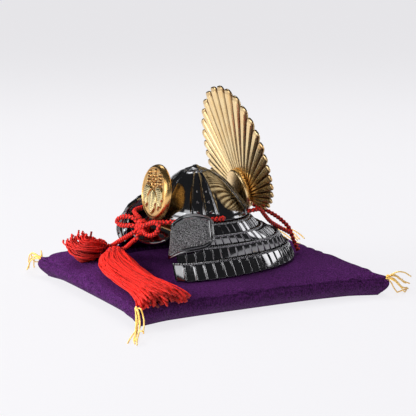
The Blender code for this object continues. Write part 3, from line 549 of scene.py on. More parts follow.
def build_turn_back(node, sign):
    table = smooth_route([row[1:] + (row[0] * SHARE_RUN,) for row in TURN_BACK], 0.0006)
    rows = np.linspace(0.0, 1.0, 64)
    ones = np.ones(len(rows))
    low, top, bulge, share = table[:, 0:3], table[:, 3:6], table[:, 6], table[:, 7] / SHARE_RUN
    swell = bulge[:, None] * np.sin(math.pi * rows ** 0.8)[None, :]
    surface = (low[:, None, :] + (top - low)[:, None, :] * rows[None, :, None]
               + BULGE_WAY[None, None, :] * swell[:, :, None])
    normal = unit(np.cross(np.gradient(surface, axis=0), np.gradient(surface, axis=1)))
    tall = np.linalg.norm(top - low, axis=1)[:, None]
    run = run_along((low + top) / 2)
    to_end = (run[-1] - run)[:, None] * ones
    to_start = run[:, None] * ones + 0.0004
    edge = np.minimum(np.minimum(rows * tall, (1.0 - rows) * tall), to_end)
    fold = smoothstep(share, -0.02, 0.06)[:, None]

    def bead(centre, width):
        return np.clip(1.0 - ((edge - centre) / width) ** 2, 0.0, 1.0)

    lift = HEM_HEIGHT * bead(0.0006, 0.0009) + LINE_HEIGHT * bead(0.0026, 0.0006)
    field = smoothstep(edge, 0.0031, 0.0036) * smoothstep(to_start, 0.0020, 0.0030)
    round_off = 0.00035 * (1.0 - smoothstep(np.minimum(edge, to_start), 0.0, 0.0004))
    face = surface + normal * (lift * fold - round_off)[:, :, None]
    back = surface - normal * (PLATE_THICKNESS + (lift * fold - round_off))[:, :, None]
    both = np.concatenate([face, back[:, ::-1, :]], axis=1)
    both[:, :, 0] *= sign
    faces = capped(len(table), 2 * len(rows), True)
    if sign < 0:
        faces = [face[::-1] for face in faces]
    marks = np.concatenate([field, field[:, ::-1]], axis=1).reshape(-1)
    piece(node + "_leather", both.reshape(-1, 3), faces, GRAINED, node, fields={"field": marks})


# Visor
VISOR_SPREAD = 60.0
VISOR_REACH = 0.0104
VISOR_DROP = 0.0163
VISOR_THICKNESS = np.array([0.0, 0.0004, -0.0011])


def build_visor():
    t = np.linspace(-1.0, 1.0, 161)
    turn = np.radians(VISOR_SPREAD * t)
    joint = bowl_radius(VISOR_SPREAD * t) - BOWL_WALL / 2
    joint_height = np.full(len(t), BOWL_BASE - 0.0003)
    inner = np.stack([joint * np.sin(turn), BOWL_CENTRE_Y - joint * np.cos(turn), joint_height], -1)
    lip = np.stack([0.96 * joint * np.sin(turn), BOWL_CENTRE_Y - BOWL_RADIUS - VISOR_REACH + 0.0045 * t * t,
                    BOWL_BASE - VISOR_DROP + 0.0058 * t * t], -1)
    rings = []
    for level in np.linspace(0.0, 1.0, 22):
        bow = math.sin(math.pi * level) * 0.0019
        bead = 0.00045 * max(0.0, 1.0 - abs(level - 0.93) / 0.05)
        ring = inner * (1 - level) + lip * level
        ring[:, 1] += -bow * (1 - 0.4 * t * t) - bead
        ring[:, 2] += bow * 0.9 + bead * 0.6
        rings.append(ring)
    rings += [ring + VISOR_THICKNESS for ring in rings[::-1]]
    points = np.stack(rings, axis=1).reshape(-1, 3)
    piece("visor_plate", points, capped(len(t), len(rings), True), BLACK, "visor")


# Front disc with leaf and blossom relief
LEAN = math.radians(7.2)
DISC_UP = np.array([0.0, math.sin(LEAN), math.cos(LEAN)])
DISC_OUT = np.array([0.0, -math.cos(LEAN), math.sin(LEAN)])
MIDDLE_LEAF = ((0.0, 0.12), (0.16, 0.03), (0.30, -0.14), (0.34, -0.34), (0.25, -0.43), (0.20, -0.60),
               (0.0, -0.76), (-0.20, -0.60), (-0.25, -0.43), (-0.34, -0.34), (-0.30, -0.14), (-0.16, 0.03))
SIDE_LEAF = ((0.15, 0.10), (0.28, 0.21), (0.45, 0.25), (0.61, 0.18), (0.71, 0.02), (0.75, -0.16),
             (0.68, -0.26), (0.67, -0.43), (0.54, -0.45), (0.47, -0.57), (0.36, -0.44), (0.36, -0.20),
             (0.29, -0.05))
BLOSSOMS = ((0.0, 0.22), (-0.11, 0.31), (0.11, 0.31), (0.0, 0.40), (-0.11, 0.49), (0.11, 0.49), (0.0, 0.60),
            (0.0, 0.76), (0.32, 0.36), (0.50, 0.36), (0.41, 0.46), (0.32, 0.56), (0.48, 0.56), (0.40, 0.68))


def distance_inside(p, q, shape):
    best = np.full(p.shape, 9.0)
    inside = np.zeros(p.shape, bool)
    for (ax, ay), (bx, by) in zip(shape, shape[1:] + shape[:1]):
        dx, dy = bx - ax, by - ay
        t = np.clip(((p - ax) * dx + (q - ay) * dy) / (dx * dx + dy * dy), 0.0, 1.0)
        best = np.minimum(best, np.hypot(p - ax - t * dx, q - ay - t * dy))
        cross = ((ay > q) != (by > q)) & (p < (bx - ax) * (q - ay) / (by - ay + 1e-12) + ax)
        inside ^= cross
    return np.where(inside, best, -best)


def rounded(shape):
    return tuple(map(tuple, smooth_route([*shape, shape[0]], 0.02)[:-1]))


# Leaves: outline, foot and tip of the main vein
LEAVES = (
    (MIDDLE_LEAF, (0.0, 0.06), (0.0, -0.72)),
    (SIDE_LEAF, (0.20, 0.06), (0.60, -0.40)),
    (tuple((-x, y) for x, y in SIDE_LEAF), (-0.20, 0.06), (-0.60, -0.40)),
)
BLOSSOM_SIZE = 0.060
STEMS = ((0.0, 0.12, 0.0, 0.74), (0.20, 0.20, 0.42, 0.64), (-0.20, 0.20, -0.42, 0.64))
# Rows outside the relief: share of the radius, height over the disc's plane, and darkness, which is painted
# shade in the groove at the relief's edge
DISC_RIM = (
    (0.845, 0.0, 0.55), (0.855, -0.0001, 0.7), (0.868, 0.0004, 0.1), (0.885, 0.00062, 0), (0.90, 0.00055, 0),
    (0.93, 0.0001, 0), (0.955, -0.0005, 0), (0.978, -0.0012, 0), (0.992, -0.0020, 0), (1.0, -0.0028, 0),
    (0.996, -0.0036, 0), (0.975, -0.0041, 0), (0.93, -0.0044, 0), (0.5, -0.0044, 0), (0.02, -0.0044, 0),
)
DISC_AROUND = 400
RELIEF_RINGS = 120


# dark is painted shade: in the groove round the leaves, on their outlines and in the veins. pale is the
# leaves' own paler gold, made less pale in the veins as painted shade.
def add_leaves(p, q, height):
    inward = [distance_inside(p, q, rounded(shape)) for shape, _, _ in LEAVES]
    union = np.maximum.reduce(inward)
    whole = smoothstep(union, -0.008, 0.035)
    groove = np.exp(-((union + 0.022) / 0.024) ** 2)
    height += 0.00110 * whole + 0.0003 * smoothstep(union, 0.03, 0.14) - 0.00055 * groove * (1 - whole)
    dark = groove * 0.95
    pale = smoothstep(union, 0.0, 0.03)
    for d, (_, foot, tip) in zip(inward, LEAVES):
        body = smoothstep(d, -0.008, 0.035)
        line = np.exp(-((d - 0.004) / 0.009) ** 2) * smoothstep(union, 0.02, 0.05)
        height -= 0.00035 * line
        axis = unit(np.array(tip) - foot)
        u = (p - foot[0]) * axis[0] + (q - foot[1]) * axis[1]
        v = (p - foot[0]) * -axis[1] + (q - foot[1]) * axis[0]
        main = np.exp(-(v / 0.014) ** 2) * (u > 0)
        veins = np.abs(((u - 0.75 * np.abs(v)) / 0.085) % 1.0 - 0.5)
        side = smoothstep(0.5 - veins, 0.30, 0.46) * smoothstep(d, 0.02, 0.05)
        height += body * (0.00022 * main - 0.00010 * side)
        pale = pale * (1 - 0.5 * side * body)
        dark = np.maximum.reduce([dark, 0.35 * line, body * side * 0.22])
    return dark, pale


# dark is painted shade in the sunken ring round each blossom
def add_blossoms(p, q, height, dark):
    for x, y in BLOSSOMS:
        for sign in ((1,) if x <= 0.2 else (1, -1)):
            away = np.hypot(p - sign * x, q - y) / BLOSSOM_SIZE
            ring = np.exp(-((away - 1.30) / 0.42) ** 2)
            height += 0.0012 * np.sqrt(np.clip(1.0 - away ** 2, 0.0, 1.0)) - 0.00055 * ring * (away > 0.95)
            np.maximum(dark, ring * 0.95 * (away > 0.9), out=dark)
    for x0, y0, x1, y1 in STEMS:
        dx, dy = x1 - x0, y1 - y0
        t = np.clip(((p - x0) * dx + (q - y0) * dy) / (dx * dx + dy * dy), 0.0, 1.0)
        away = np.hypot(p - x0 - t * dx, q - y0 - t * dy)
        np.maximum(height, 0.0004 * np.exp(-(away / 0.016) ** 2), out=height)


def on_disc(p, q, out):
    return (DISC_CENTRE + np.outer(p * DISC_RADIUS, (1, 0, 0)) + np.outer(q * DISC_RADIUS, DISC_UP)
            + np.outer(out, DISC_OUT))


def build_disc():
    turns = circle(DISC_AROUND)
    r, a = np.meshgrid(np.linspace(0.008, 0.84, RELIEF_RINGS), turns, indexing="ij")
    p, q = r * np.cos(a), r * np.sin(a)
    height = np.zeros(p.shape)
    dark, pale = add_leaves(p, q, height)
    add_blossoms(p, q, height, dark)
    rings = [on_disc(*row) for row in zip(p, q, height)]
    rings += [on_disc(np.cos(turns) * share, np.sin(turns) * share, out) for share, out, _ in DISC_RIM]
    shades = np.repeat([shade for _, _, shade in DISC_RIM], DISC_AROUND)
    faces = [face[::-1] for face in capped(len(rings), DISC_AROUND)]
    piece("disc_relief", np.vstack(rings), faces, DEEP_GOLD, "front_disc",
          fields={"dark": np.concatenate([np.clip(dark, 0, 1).reshape(-1), shades]),
                  "pale": np.concatenate([np.clip(pale, 0, 1).reshape(-1), 0 * shades])})


# Lug that holds the disc: a block with a sloped back, as rows of height and depth
LUG_HALF = 0.0035
LUG_BLOCK = (((-0.0100, -0.0040), (-0.0010, -0.0040)), ((-0.0100, -0.0078), (-0.0010, -0.0094)))


def build_lug():
    box = []
    for low, top in LUG_BLOCK:
        for x, (y, out) in ((-LUG_HALF, low), (LUG_HALF, low), (LUG_HALF, top), (-LUG_HALF, top)):
            box.append(DISC_CENTRE + (x, 0, 0) + DISC_UP * y + DISC_OUT * out)
    faces = [[0, 1, 2, 3], [7, 6, 5, 4], [0, 4, 5, 1], [1, 5, 6, 2], [2, 6, 7, 3], [3, 7, 4, 0]]
    piece("disc_lug", box, faces, DEEP_GOLD, smooth=False)


# Rear fan
TILT = math.radians(14.6)
FAN_UP = np.array([0.0, -math.sin(TILT), math.cos(TILT)])
FAN_OUT = np.array([0.0, -math.cos(TILT), -math.sin(TILT)])
FAN_PITCH = math.radians(7.27)
FAN_RAYS = (0.0826, 0.0817, 0.0793, 0.0752, 0.0707, 0.0662, 0.0614, 0.0566, 0.0528, 0.0492, 0.0463, 0.0428,
            0.0385, 0.0336, 0.0279)
RAY_OFFSETS = (-0.5, -0.43, -0.36, -0.28, -0.22, -0.16, -0.08, 0.0, 0.08, 0.16, 0.22, 0.28, 0.36, 0.43)
RAY_START = 0.0060
RAY_HEIGHT = 0.0015
VALLEY_CUT = 0.0032
# Rows at the rays' ends: distance from the tip, and share of the height
RAY_ENDS = (
    (0.0042, 1.0), (0.0032, 1.0), (0.0026, 0.55), (0.0018, 0.60), (0.0008, 0.50), (0.0002, 0.30), (0.0, 0.1),
)
# Rows of the hub: radius and how far forward. Rows of the stem: height and half width.
HUB = (
    (0.0001, 0.0012), (0.004, 0.0011), (0.0072, 0.0008), (0.0084, 0.0002), (0.0085, -0.0008),
    (0.0082, -0.0022), (0.0070, -0.0030), (0.0040, -0.0034), (0.0001, -0.0035),
)
STEM = ((0.0, 0.0040), (-0.0040, 0.0038), (-0.0082, 0.0032))


def on_fan(angle, radius, out):
    angle, radius, out = np.broadcast_arrays(angle, radius, out)
    return (FAN_HUB + (radius * np.sin(angle))[..., None] * np.array((1.0, 0.0, 0.0))
            + (radius * np.cos(angle))[..., None] * FAN_UP + out[..., None] * FAN_OUT)


def fan_columns():
    columns = []
    for k in range(-14, 15):
        for off in RAY_OFFSETS:
            crest = smoothstep(0.5 - abs(off), 0.03, 0.27)
            tip = FAN_RAYS[abs(k)] - VALLEY_CUT * (abs(off) * 2) ** 3.2
            if off == -0.5:
                tip = min(tip, FAN_RAYS[min(14, abs(k - 1))] - VALLEY_CUT)
            columns.append(((k + off) * FAN_PITCH, tip, crest))
    columns.append((14.5 * FAN_PITCH, FAN_RAYS[14] - VALLEY_CUT, 0.0))
    return np.array(columns).T


def build_fan():
    angle, tip, crest = fan_columns()
    # Painted light on the rays: groove is painted shade in the valleys between the rays, and the last number
    # of each row is a painted highlight on the crests; the rays' ends and back get more painted shade
    groove = 1.0 - smoothstep(crest, 0.15, 0.75)
    rows = []
    for share in (0.0, 0.15, 0.35, 0.6, 0.85):
        depth = RAY_HEIGHT * (0.6 + 0.4 * min(1.0, share * 2))
        rows.append((RAY_START + (tip - 0.0046 - RAY_START) * share, crest * depth, groove, 0.25 * crest))
    for short, keep in RAY_ENDS:
        step, shade = 0.0003 * (keep < 1), 0.25 * (keep < 0.9)
        rows.append((tip - short, crest * RAY_HEIGHT * keep + step, groove * 0.8 + shade, 0.0))
    rows.append((tip, crest * 0.0002 - 0.0007, 0.4, 0.0))
    for share in (1.0, 0.5, 0.0):
        radius = RAY_START + (tip - 0.0022 - RAY_START) * share
        rows.append((radius, crest * 0.0014 - 0.0014, 0.3 * crest, 0.0))
    points = np.stack([on_fan(angle, radius, out) for radius, out, _, _ in rows], axis=1)
    dark = np.stack([np.broadcast_to(row[2], crest.shape) for row in rows], axis=1)
    pale = np.stack([np.broadcast_to(row[3], crest.shape) for row in rows], axis=1)
    piece("fan_rays", points.reshape(-1, 3), capped(len(crest), len(rows)), GOLD, "rear_fan",
          fields={"dark": np.clip(dark.reshape(-1), 0, 1), "pale": pale.reshape(-1)})
    hub = [on_fan(circle(64), reach, out) for reach, out in HUB]
    stem = []
    for up, half in STEM:
        for x, out in ((-half, 0.0002), (half, 0.0002), (half, -0.0020), (-half, -0.0020)):
            stem.append(FAN_HUB + (x, 0, 0) + FAN_UP * up + FAN_OUT * out)
    stem_faces = grid(len(STEM), 4) + [[0, 1, 2, 3], [11, 10, 9, 8]]
    points, faces = merge([(np.vstack(hub), grid(len(HUB), 64)), (np.array(stem), stem_faces)])
    piece("fan_hub", points, faces, GOLD)


# Boss in front of the fan's hub: an arch that is cut off level at its foot and keeps clear of the bowl
BOSS_SIZE = (0.0130, 0.0155)
BOSS_MIDDLE = 0.0057
BOSS_FOOT = 0.0536
BOSS_START = 0.0017
BOSS_CLEARANCE = 0.0016
BOSS_ROWS = (
    (1.0, 0.0), (1.005, 0.0018), (1.0, 0.0030), (0.985, 0.0036), (0.955, 0.0040), (0.90, 0.00415),
    (0.6, 0.0044), (0.3, 0.0045), (0.02, 0.0045),
)


def build_boss():
    turns = circle(120)
    x = BOSS_SIZE[0] * np.cos(turns)
    up = np.maximum(BOSS_MIDDLE + BOSS_SIZE[1] * np.sin(turns), (BOSS_FOOT - FAN_HUB[2]) / FAN_UP[2])
    rings = []
    for scale, out in BOSS_ROWS:
        rise = BOSS_MIDDLE + (up - BOSS_MIDDLE) * scale
        rings.append(FAN_HUB + np.outer(x * scale, (1, 0, 0)) + np.outer(rise, FAN_UP)
                     + (BOSS_START + out) * FAN_OUT)
    points = np.vstack(rings)
    share = np.interp((points[:, 2] - BOWL_BASE) / BOWL_HEIGHT, PROFILE_UPS, PROFILE_SHARES)
    inside = np.hypot(points[:, 0], points[:, 1] - BOWL_CENTRE_Y)
    points[:, 1] += np.clip(BOWL_RADIUS * share + BOSS_CLEARANCE - inside, 0.0, 0.004)
    piece("boss_plate", points, capped(len(rings), len(turns)), GOLD, "fan_boss")


# Cord routes in millimetres, the same points as the solids have
KNOT_SIZE = np.array((0.0050, 0.0038, 0.0050))
SIDE_RUN = metres((
    (31.2, -7.7, 54.5), (35.0, -7.8, 54.6), (37.1, -9.2, 54.7), (37.7, -13.0, 54.8), (36.6, -20.0, 54.8),
    (34.0, -29.0, 54.6), (30.0, -38.5, 54.2), (25.2, -46.2, 53.6), (16.5, -49.0, 52.2), (10.4, -49.8, 51.3),
))
NEAR_LOOP = metres((
    (10.2, -57.2, 49.4), (15.8, -54.8, 51.9), (21.9, -53.5, 53.7), (26.0, -53.0, 52.6), (26.6, -53.3, 49.7),
    (23.2, -54.0, 46.2), (18.0, -55.0, 44.1), (12.5, -56.2, 44.3),
))
FAR_LOOP = metres((
    (-6.5, -56.5, 52.4), (-12.7, -59.0, 52.6), (-19.2, -61.0, 50.5), (-21.3, -62.0, 48.2),
    (-18.4, -61.8, 46.4), (-11.1, -60.8, 46.5), (-5.8, -59.2, 47.5),
))
TAIL_ONE = metres((
    (-4.0, -58.0, 42.1), (-12.5, -58.8, 38.0), (-23.5, -59.4, 33.0), (-32.7, -59.0, 28.9),
    (-37.2, -58.9, 27.1), (-40.0, -60.4, 26.6),
))
TAIL_TWO = metres((
    (4.0, -59.0, 40.0), (-1.5, -59.2, 36.8), (-8.5, -57.8, 33.8), (-16.0, -56.4, 30.4),
    (-20.2, -57.0, 28.0), (-21.8, -58.8, 27.0),
))
REAR_NEAR = metres((
    (18.2, 16.8, 54.5), (20.8, 20.3, 54.8), (21.2, 25.0, 55.2), (18.5, 31.5, 54.8), (15.0, 37.0, 50.0),
    (11.2, 44.5, 43.4), (8.0, 52.0, 39.0), (6.2, 58.5, 35.5), (5.4, 63.0, 33.2), (5.2, 65.0, 32.0),
))
REAR_FAR = metres((
    (-18.2, 16.8, 54.5), (-20.8, 20.3, 54.8), (-21.0, 26.0, 55.2), (-15.0, 34.5, 55.2), (-7.0, 42.5, 52.6),
    (-2.5, 50.5, 48.2), (-1.0, 58.0, 43.4), (0.0, 64.0, 38.2), (1.4, 66.8, 34.2), (2.8, 67.8, 30.2),
    (4.2, 68.6, 26.4), (5.4, 69.6, 23.0), (6.4, 70.6, 20.2), (6.8, 71.2, 18.6),
))
BRAID_AROUND = 30
BRAID_CELL = 0.0029
BRAID_CELLS = 2
FAR_SIDE_RUN = [(-x, y, z) for x, y, z in SIDE_RUN]
# Cords: piece, node, route, what it ends at, how it lies, and whether its start and end go into the knot
CORDS = (
    ("side_braid_left", "cord_side_left", SIDE_RUN, "knot", "taut", False, True),
    ("side_braid_right", "cord_side_right", FAR_SIDE_RUN, "knot", "taut", False, True),
    ("loop_braid_left", "bow_loop_left", NEAR_LOOP, "knot", "loose", True, True),
    ("loop_braid_right", "bow_loop_right", FAR_LOOP, "knot", "loose", True, True),
    ("tail_braid_1", "bow_tail_1", TAIL_ONE, "knot", "hanging", True, False),
    ("tail_braid_2", "bow_tail_2", TAIL_TWO, "knot", "hanging", True, False),
    ("rear_braid_left", "rear_cord_left", REAR_NEAR, "bare", "hanging", False, False),
    ("rear_braid_right", "rear_cord_right", REAR_FAR, "bare", "hanging", False, False),
)


def knot_end(point):
    toward = unit(np.array(point) - KNOT)
    reach = 1.0 / np.linalg.norm(toward / KNOT_SIZE)
    return tuple(KNOT + toward * (reach + 0.0003))


# The braid's relief: strands that go over and under each other, and how deep each spot lies
def braid_shape(count, step):
    s = np.arange(count)[:, None] * step / BRAID_CELL
    a = np.arange(BRAID_AROUND)[None, :] / BRAID_AROUND * BRAID_CELLS
    u, v = s + a, s - a
    over = (np.floor(u) + np.floor(v)) % 2 == 0
    across = np.where(over, v % 1.0, u % 1.0)
    along = np.where(over, u % 1.0, v % 1.0)
    dome = np.sin(math.pi * across) ** 1.5 * (0.45 + 0.55 * np.sin(math.pi * along))
    return 0.80 + 0.44 * dome, 1.0 - dome


# The dark share is painted shade in the crevices between the strands, the deeper the darker; shade sets how
# strong it is
def braided(points, step, radius, start_up=(0.0, 0.0, 1.0), shade=1.5):
    route = smooth_route(points, step)
    shape, low = braid_shape(len(route), step)
    spots, faces = tube(route, radius, BRAID_AROUND, start_up, shape)
    return route, spots, faces, np.clip((low.reshape(-1) - 0.25) * shade, 0.0, 1.0)


def build_cord(name, node, points, far_end, lay, starts_in_knot, ends_in_knot):
    first = [knot_end(points[0])] if starts_in_knot else []
    last = [knot_end(points[-1])] if ends_in_knot else []
    points = first + points + last
    route, spots, faces, dark = braided(points, 0.00022, CORD_RADIUS)
    made = piece(name, spots, faces, RED, node, fields={"dark": dark})


# The knot's turns: shift, tilt, half width and half height. Its diagonals: start, middle and end.
KNOT_TURNS = (
    (-0.0024, 0.25, 0.0030, 0.0042), (0.0004, 0.05, 0.0034, 0.0046), (0.0030, -0.25, 0.0028, 0.0040),
)
KNOT_DIAGONALS = (
    ((-0.0046, -0.0008, 0.0026), (0.0, -0.0029, 0.0002), (0.0046, -0.0018, -0.0022)),
    ((0.0044, -0.0012, 0.0028), (0.0, -0.0028, 0.0), (-0.0044, -0.0012, -0.0028)),
)
WRAP_RADIUS = 0.0013


def build_knot():
    t = np.linspace(0, 2 * math.pi, 13)
    lines = []
    for shift, tilt, wide, tall in KNOT_TURNS:
        ring = np.stack([shift + tilt * tall * np.sin(t), -wide * np.cos(t), tall * np.sin(t)], -1)
        lines.append((ring, (1.0, 0.0, 0.0)))
    lines += [(line, (0.0, 1.0, 0.0)) for line in KNOT_DIAGONALS]
    wraps = [braided(KNOT + line, 0.00024, WRAP_RADIUS, up, 1.1) for line, up in lines]
    points, faces = merge([wrap[1:3] for wrap in wraps])
    dark = np.concatenate([wrap[3] for wrap in wraps])
    piece("knot_wraps", points, faces, RED, "bow_knot", fields={"dark": dark})


# Cushion surface
CUSHION_CROWN = 0.0190
CUSHION_SLOPE = 0.0026
REST_HEIGHT = 0.0170
PRESS_DEPTH = 0.0009
SIDE_BULGE = 0.0062
REAR_BULGE = 0.0050
CUSHION_STEPS = 221
EDGE_CROWDING = 0.95


# 1 on the lowest tier's rim, less inside it and more outside it
def rim_measure(x, y):
    half, centre, reach, _ = ROWS[4]
    along = y - centre
    behind = np.hypot(x / half, along / reach)
    u = np.clip(along / (RIM_FRONT - centre), 0.0, 1.0)
    wide = half * (1.0 - 0.09 * u * u)
    ahead = ((np.abs(x) / wide) ** 6 + (along / 0.034) ** 6) ** (1 / 6)
    return np.where(along > 0, behind, ahead)


def corner_sizes(x, y):
    sizes = np.abs(CORNERS)
    nearest = np.where(x > 0, np.where(y < 0, 0, 1), np.where(y < 0, 3, 2))
    return sizes[nearest, 0], sizes[nearest, 1]


def cushion_top(x, y):
    corner_x, corner_y = corner_sizes(x, y)
    wide = MID_X + (corner_x - MID_X) * np.minimum(1.0, np.abs(y) / corner_y) ** 3
    deep = MID_Y + (corner_y - MID_Y) * np.minimum(1.0, np.abs(x) / corner_x) ** 3
    edge = np.minimum(1.0, ((np.abs(x) / wide) ** 12 + (np.abs(y) / deep) ** 12) ** (1 / 12))
    crown = CUSHION_CROWN - CUSHION_SLOPE * x / MID_X
    full = SEAM + (crown - SEAM) * (1.0 - edge ** 6.0) ** 0.5
    away = (rim_measure(x, y) - 1.0) * 0.055
    weight = np.exp(-(away / 0.009) ** 2)
    weight = np.where(y < TIER_FRONT, weight * smoothstep(np.abs(x), 0.028, 0.040), weight)
    return full * (1.0 - weight) + np.minimum(full, REST_HEIGHT - PRESS_DEPTH) * weight


def square_to_cushion(a, b):
    corner_x, corner_y = corner_sizes(a, b)
    x = a * (MID_X + (corner_x - MID_X) * np.abs(b) ** 3)
    y = b * (MID_Y + (corner_y - MID_Y) * np.abs(a) ** 3)
    return x, y


def bulged(a, b):
    x, y = square_to_cushion(a, b)
    front_or_rear = np.where(b < 0, SIDE_BULGE, REAR_BULGE)
    return x + SIDE_BULGE * a * (1.0 - np.abs(b) ** 3), y + front_or_rear * b * (1.0 - np.abs(a) ** 3)


def seam_wave(side):
    return 0.0004 * np.sin(side * 150.0) + 0.0003 * np.sin(side * 61.0 + 0.7)


def bulge_way(a, b):
    way = np.stack([np.sign(a) * np.abs(a) ** 8, np.sign(b) * np.abs(b) ** 8], -1)
    return way / np.maximum(np.abs(way).max(axis=-1, keepdims=True), 1e-9)


def cushion_layers(a, b, border):
    flat_x, flat_y = square_to_cushion(a, b)
    x, y = bulged(a, b)
    near = np.maximum(np.abs(a), np.abs(b))
    depth = 1.0 - near
    side = np.where(np.abs(a) > np.abs(b), y, x)
    calm = smoothstep(np.abs(rim_measure(flat_x, flat_y) - 1.0), 0.10, 0.35)
    ripple = np.array([[noise.noise(Vector((px * 38, py * 38, 0.3))) for px, py in zip(rx, ry)]
                       for rx, ry in zip(x, y)])
    share = smoothstep(near, 0.62, 0.90)
    top = cushion_top(x + (flat_x - x) * share, y + (flat_y - y) * share)
    top = top + smoothstep(depth, 0.0, 0.04) * calm * 0.0008 * ripple
    tucks = 0.5 + 0.5 * np.sin(side * 300 + 3 * np.sin(side * 83) + 2.0 * np.sin(side * 37 + 1.0))
    gather = np.exp(-(depth / 0.05) ** 2) * smoothstep(depth, 0.0, 0.02)
    corner = smoothstep(np.minimum(np.abs(a), np.abs(b)), 0.72, 0.97)
    crease = np.exp(-((np.abs(a) - np.abs(b)) / 0.045) ** 2) * corner * smoothstep(depth, 0.0, 0.03)
    top = top - 0.0008 * tucks * gather + 0.0012 * crease
    seam = SEAM + seam_wave(side)
    swell = 0.0019 * np.sin(math.pi * np.clip(depth / 0.10, 0.0, 1.0) ** 0.7) * (1.0 - 0.35 * tucks)
    level = np.clip(depth / (0.075 - 0.035 * corner), 0.0, 1.0)
    low_swell = np.sin(math.pi * np.clip(level * 1.15, 0.0, 1.0) ** 0.55) * (1.0 - 0.2 * tucks)
    low_swell = low_swell * (0.0040 - 0.0012 * corner)
    down = seam * np.clip(1.0 - level ** 0.62, 0.0, 1.0) ** 1.05
    way_x, way_y = np.moveaxis(bulge_way(a, b), -1, 0)
    upper = np.stack([x + way_x * swell, y + way_y * swell, np.where(border, seam, top)], -1)
    return upper, np.stack([x + way_x * low_swell, y + way_y * low_swell, down], -1)


def layer_faces(ids, order):
    corners = (ids[:-1, :-1], ids[1:, :-1], ids[1:, 1:], ids[:-1, 1:])
    return np.stack([corners[k] for k in order], -1).reshape(-1, 4).tolist()


# The cloth: an upper and a lower layer that share the points of their border
def build_cushion():
    turn = np.linspace(-1, 1, CUSHION_STEPS) * math.pi / 2
    line = np.sin(turn * EDGE_CROWDING) / math.sin(math.pi / 2 * EDGE_CROWDING)
    a, b = np.meshgrid(line, line, indexing="ij")
    border = np.maximum(np.abs(a), np.abs(b)) > 0.9999
    upper, lower = cushion_layers(a, b, border)
    upper_ids = np.arange(a.size).reshape(a.shape)
    lower_ids = np.where(border, upper_ids, 0)
    lower_ids[~border] = np.arange((~border).sum()) + a.size
    faces = layer_faces(upper_ids, (0, 1, 2, 3)) + layer_faces(lower_ids, (0, 3, 2, 1))
    points = np.vstack([upper.reshape(-1, 3), lower[~border]])
    made = piece("cushion_cloth", points, faces, CREPE, "cushion")


def build_seam():
    s = np.linspace(-1, 1, 90, endpoint=False)
    one = np.ones(len(s))
    x, y = bulged(np.concatenate([one, -s, -one, s]), np.concatenate([s, one, -s, -one]))
    side = np.where(np.arange(len(x)) // len(s) % 2 == 0, y, x)
    ring = np.stack([x, y, SEAM + seam_wave(side)], -1)
    points, faces = tube(smooth_route(np.vstack([ring, ring[:1]]), 0.0016), 0.00075, 8)
    piece("cushion_seam", points, faces, CREPE)


# Tassels from single threads. Stations in millimetres: centre, half width and half height.
TASSEL_A = metres((
    (-41.2, -62.3, 26.5, 2.8, 2.8), (-41.6, -64.0, 26.3, 5.0, 4.6), (-40.2, -67.4, 26.7, 6.2, 5.6),
    (-37.6, -71.6, 26.7, 6.0, 5.4), (-34.6, -76.0, 26.2, 9.0, 8.0), (-32.2, -80.6, 25.7, 10.8, 9.2),
    (-32.8, -84.4, 26.3, 11.4, 9.2), (-36.8, -85.8, 28.6, 11.8, 8.2), (-41.4, -84.5, 32.0, 12.0, 6.6),
    (-43.4, -82.6, 35.2, 12.2, 5.0),
))
TASSEL_B = metres((
    (-22.6, -60.8, 26.7, 2.8, 2.6), (-22.6, -62.4, 26.3, 5.2, 4.0), (-18.0, -65.2, 25.7, 7.0, 4.6),
    (-9.5, -69.0, 24.9, 8.8, 4.7), (1.2, -72.9, 24.0, 10.8, 4.6), (15.5, -76.6, 23.0, 12.2, 4.3),
    (33.5, -79.4, 22.1, 12.2, 4.0), (50.0, -80.2, 21.3, 12.2, 3.8), (64.0, -79.7, 20.2, 13.4, 3.7),
    (74.5, -78.8, 18.4, 15.2, 3.6), (81.2, -78.2, 16.0, 16.2, 3.5), (84.6, -77.8, 13.6, 16.6, 3.4),
))
TASSEL_STEP = 0.0006
HEAD_RADIUS = 0.0014
HEAD_TURNS = 5
LOOSE_REACH = 0.008
LOOSE_SPREAD = 0.0018
THREAD_AROUND = 5
CORE_AROUND = 32


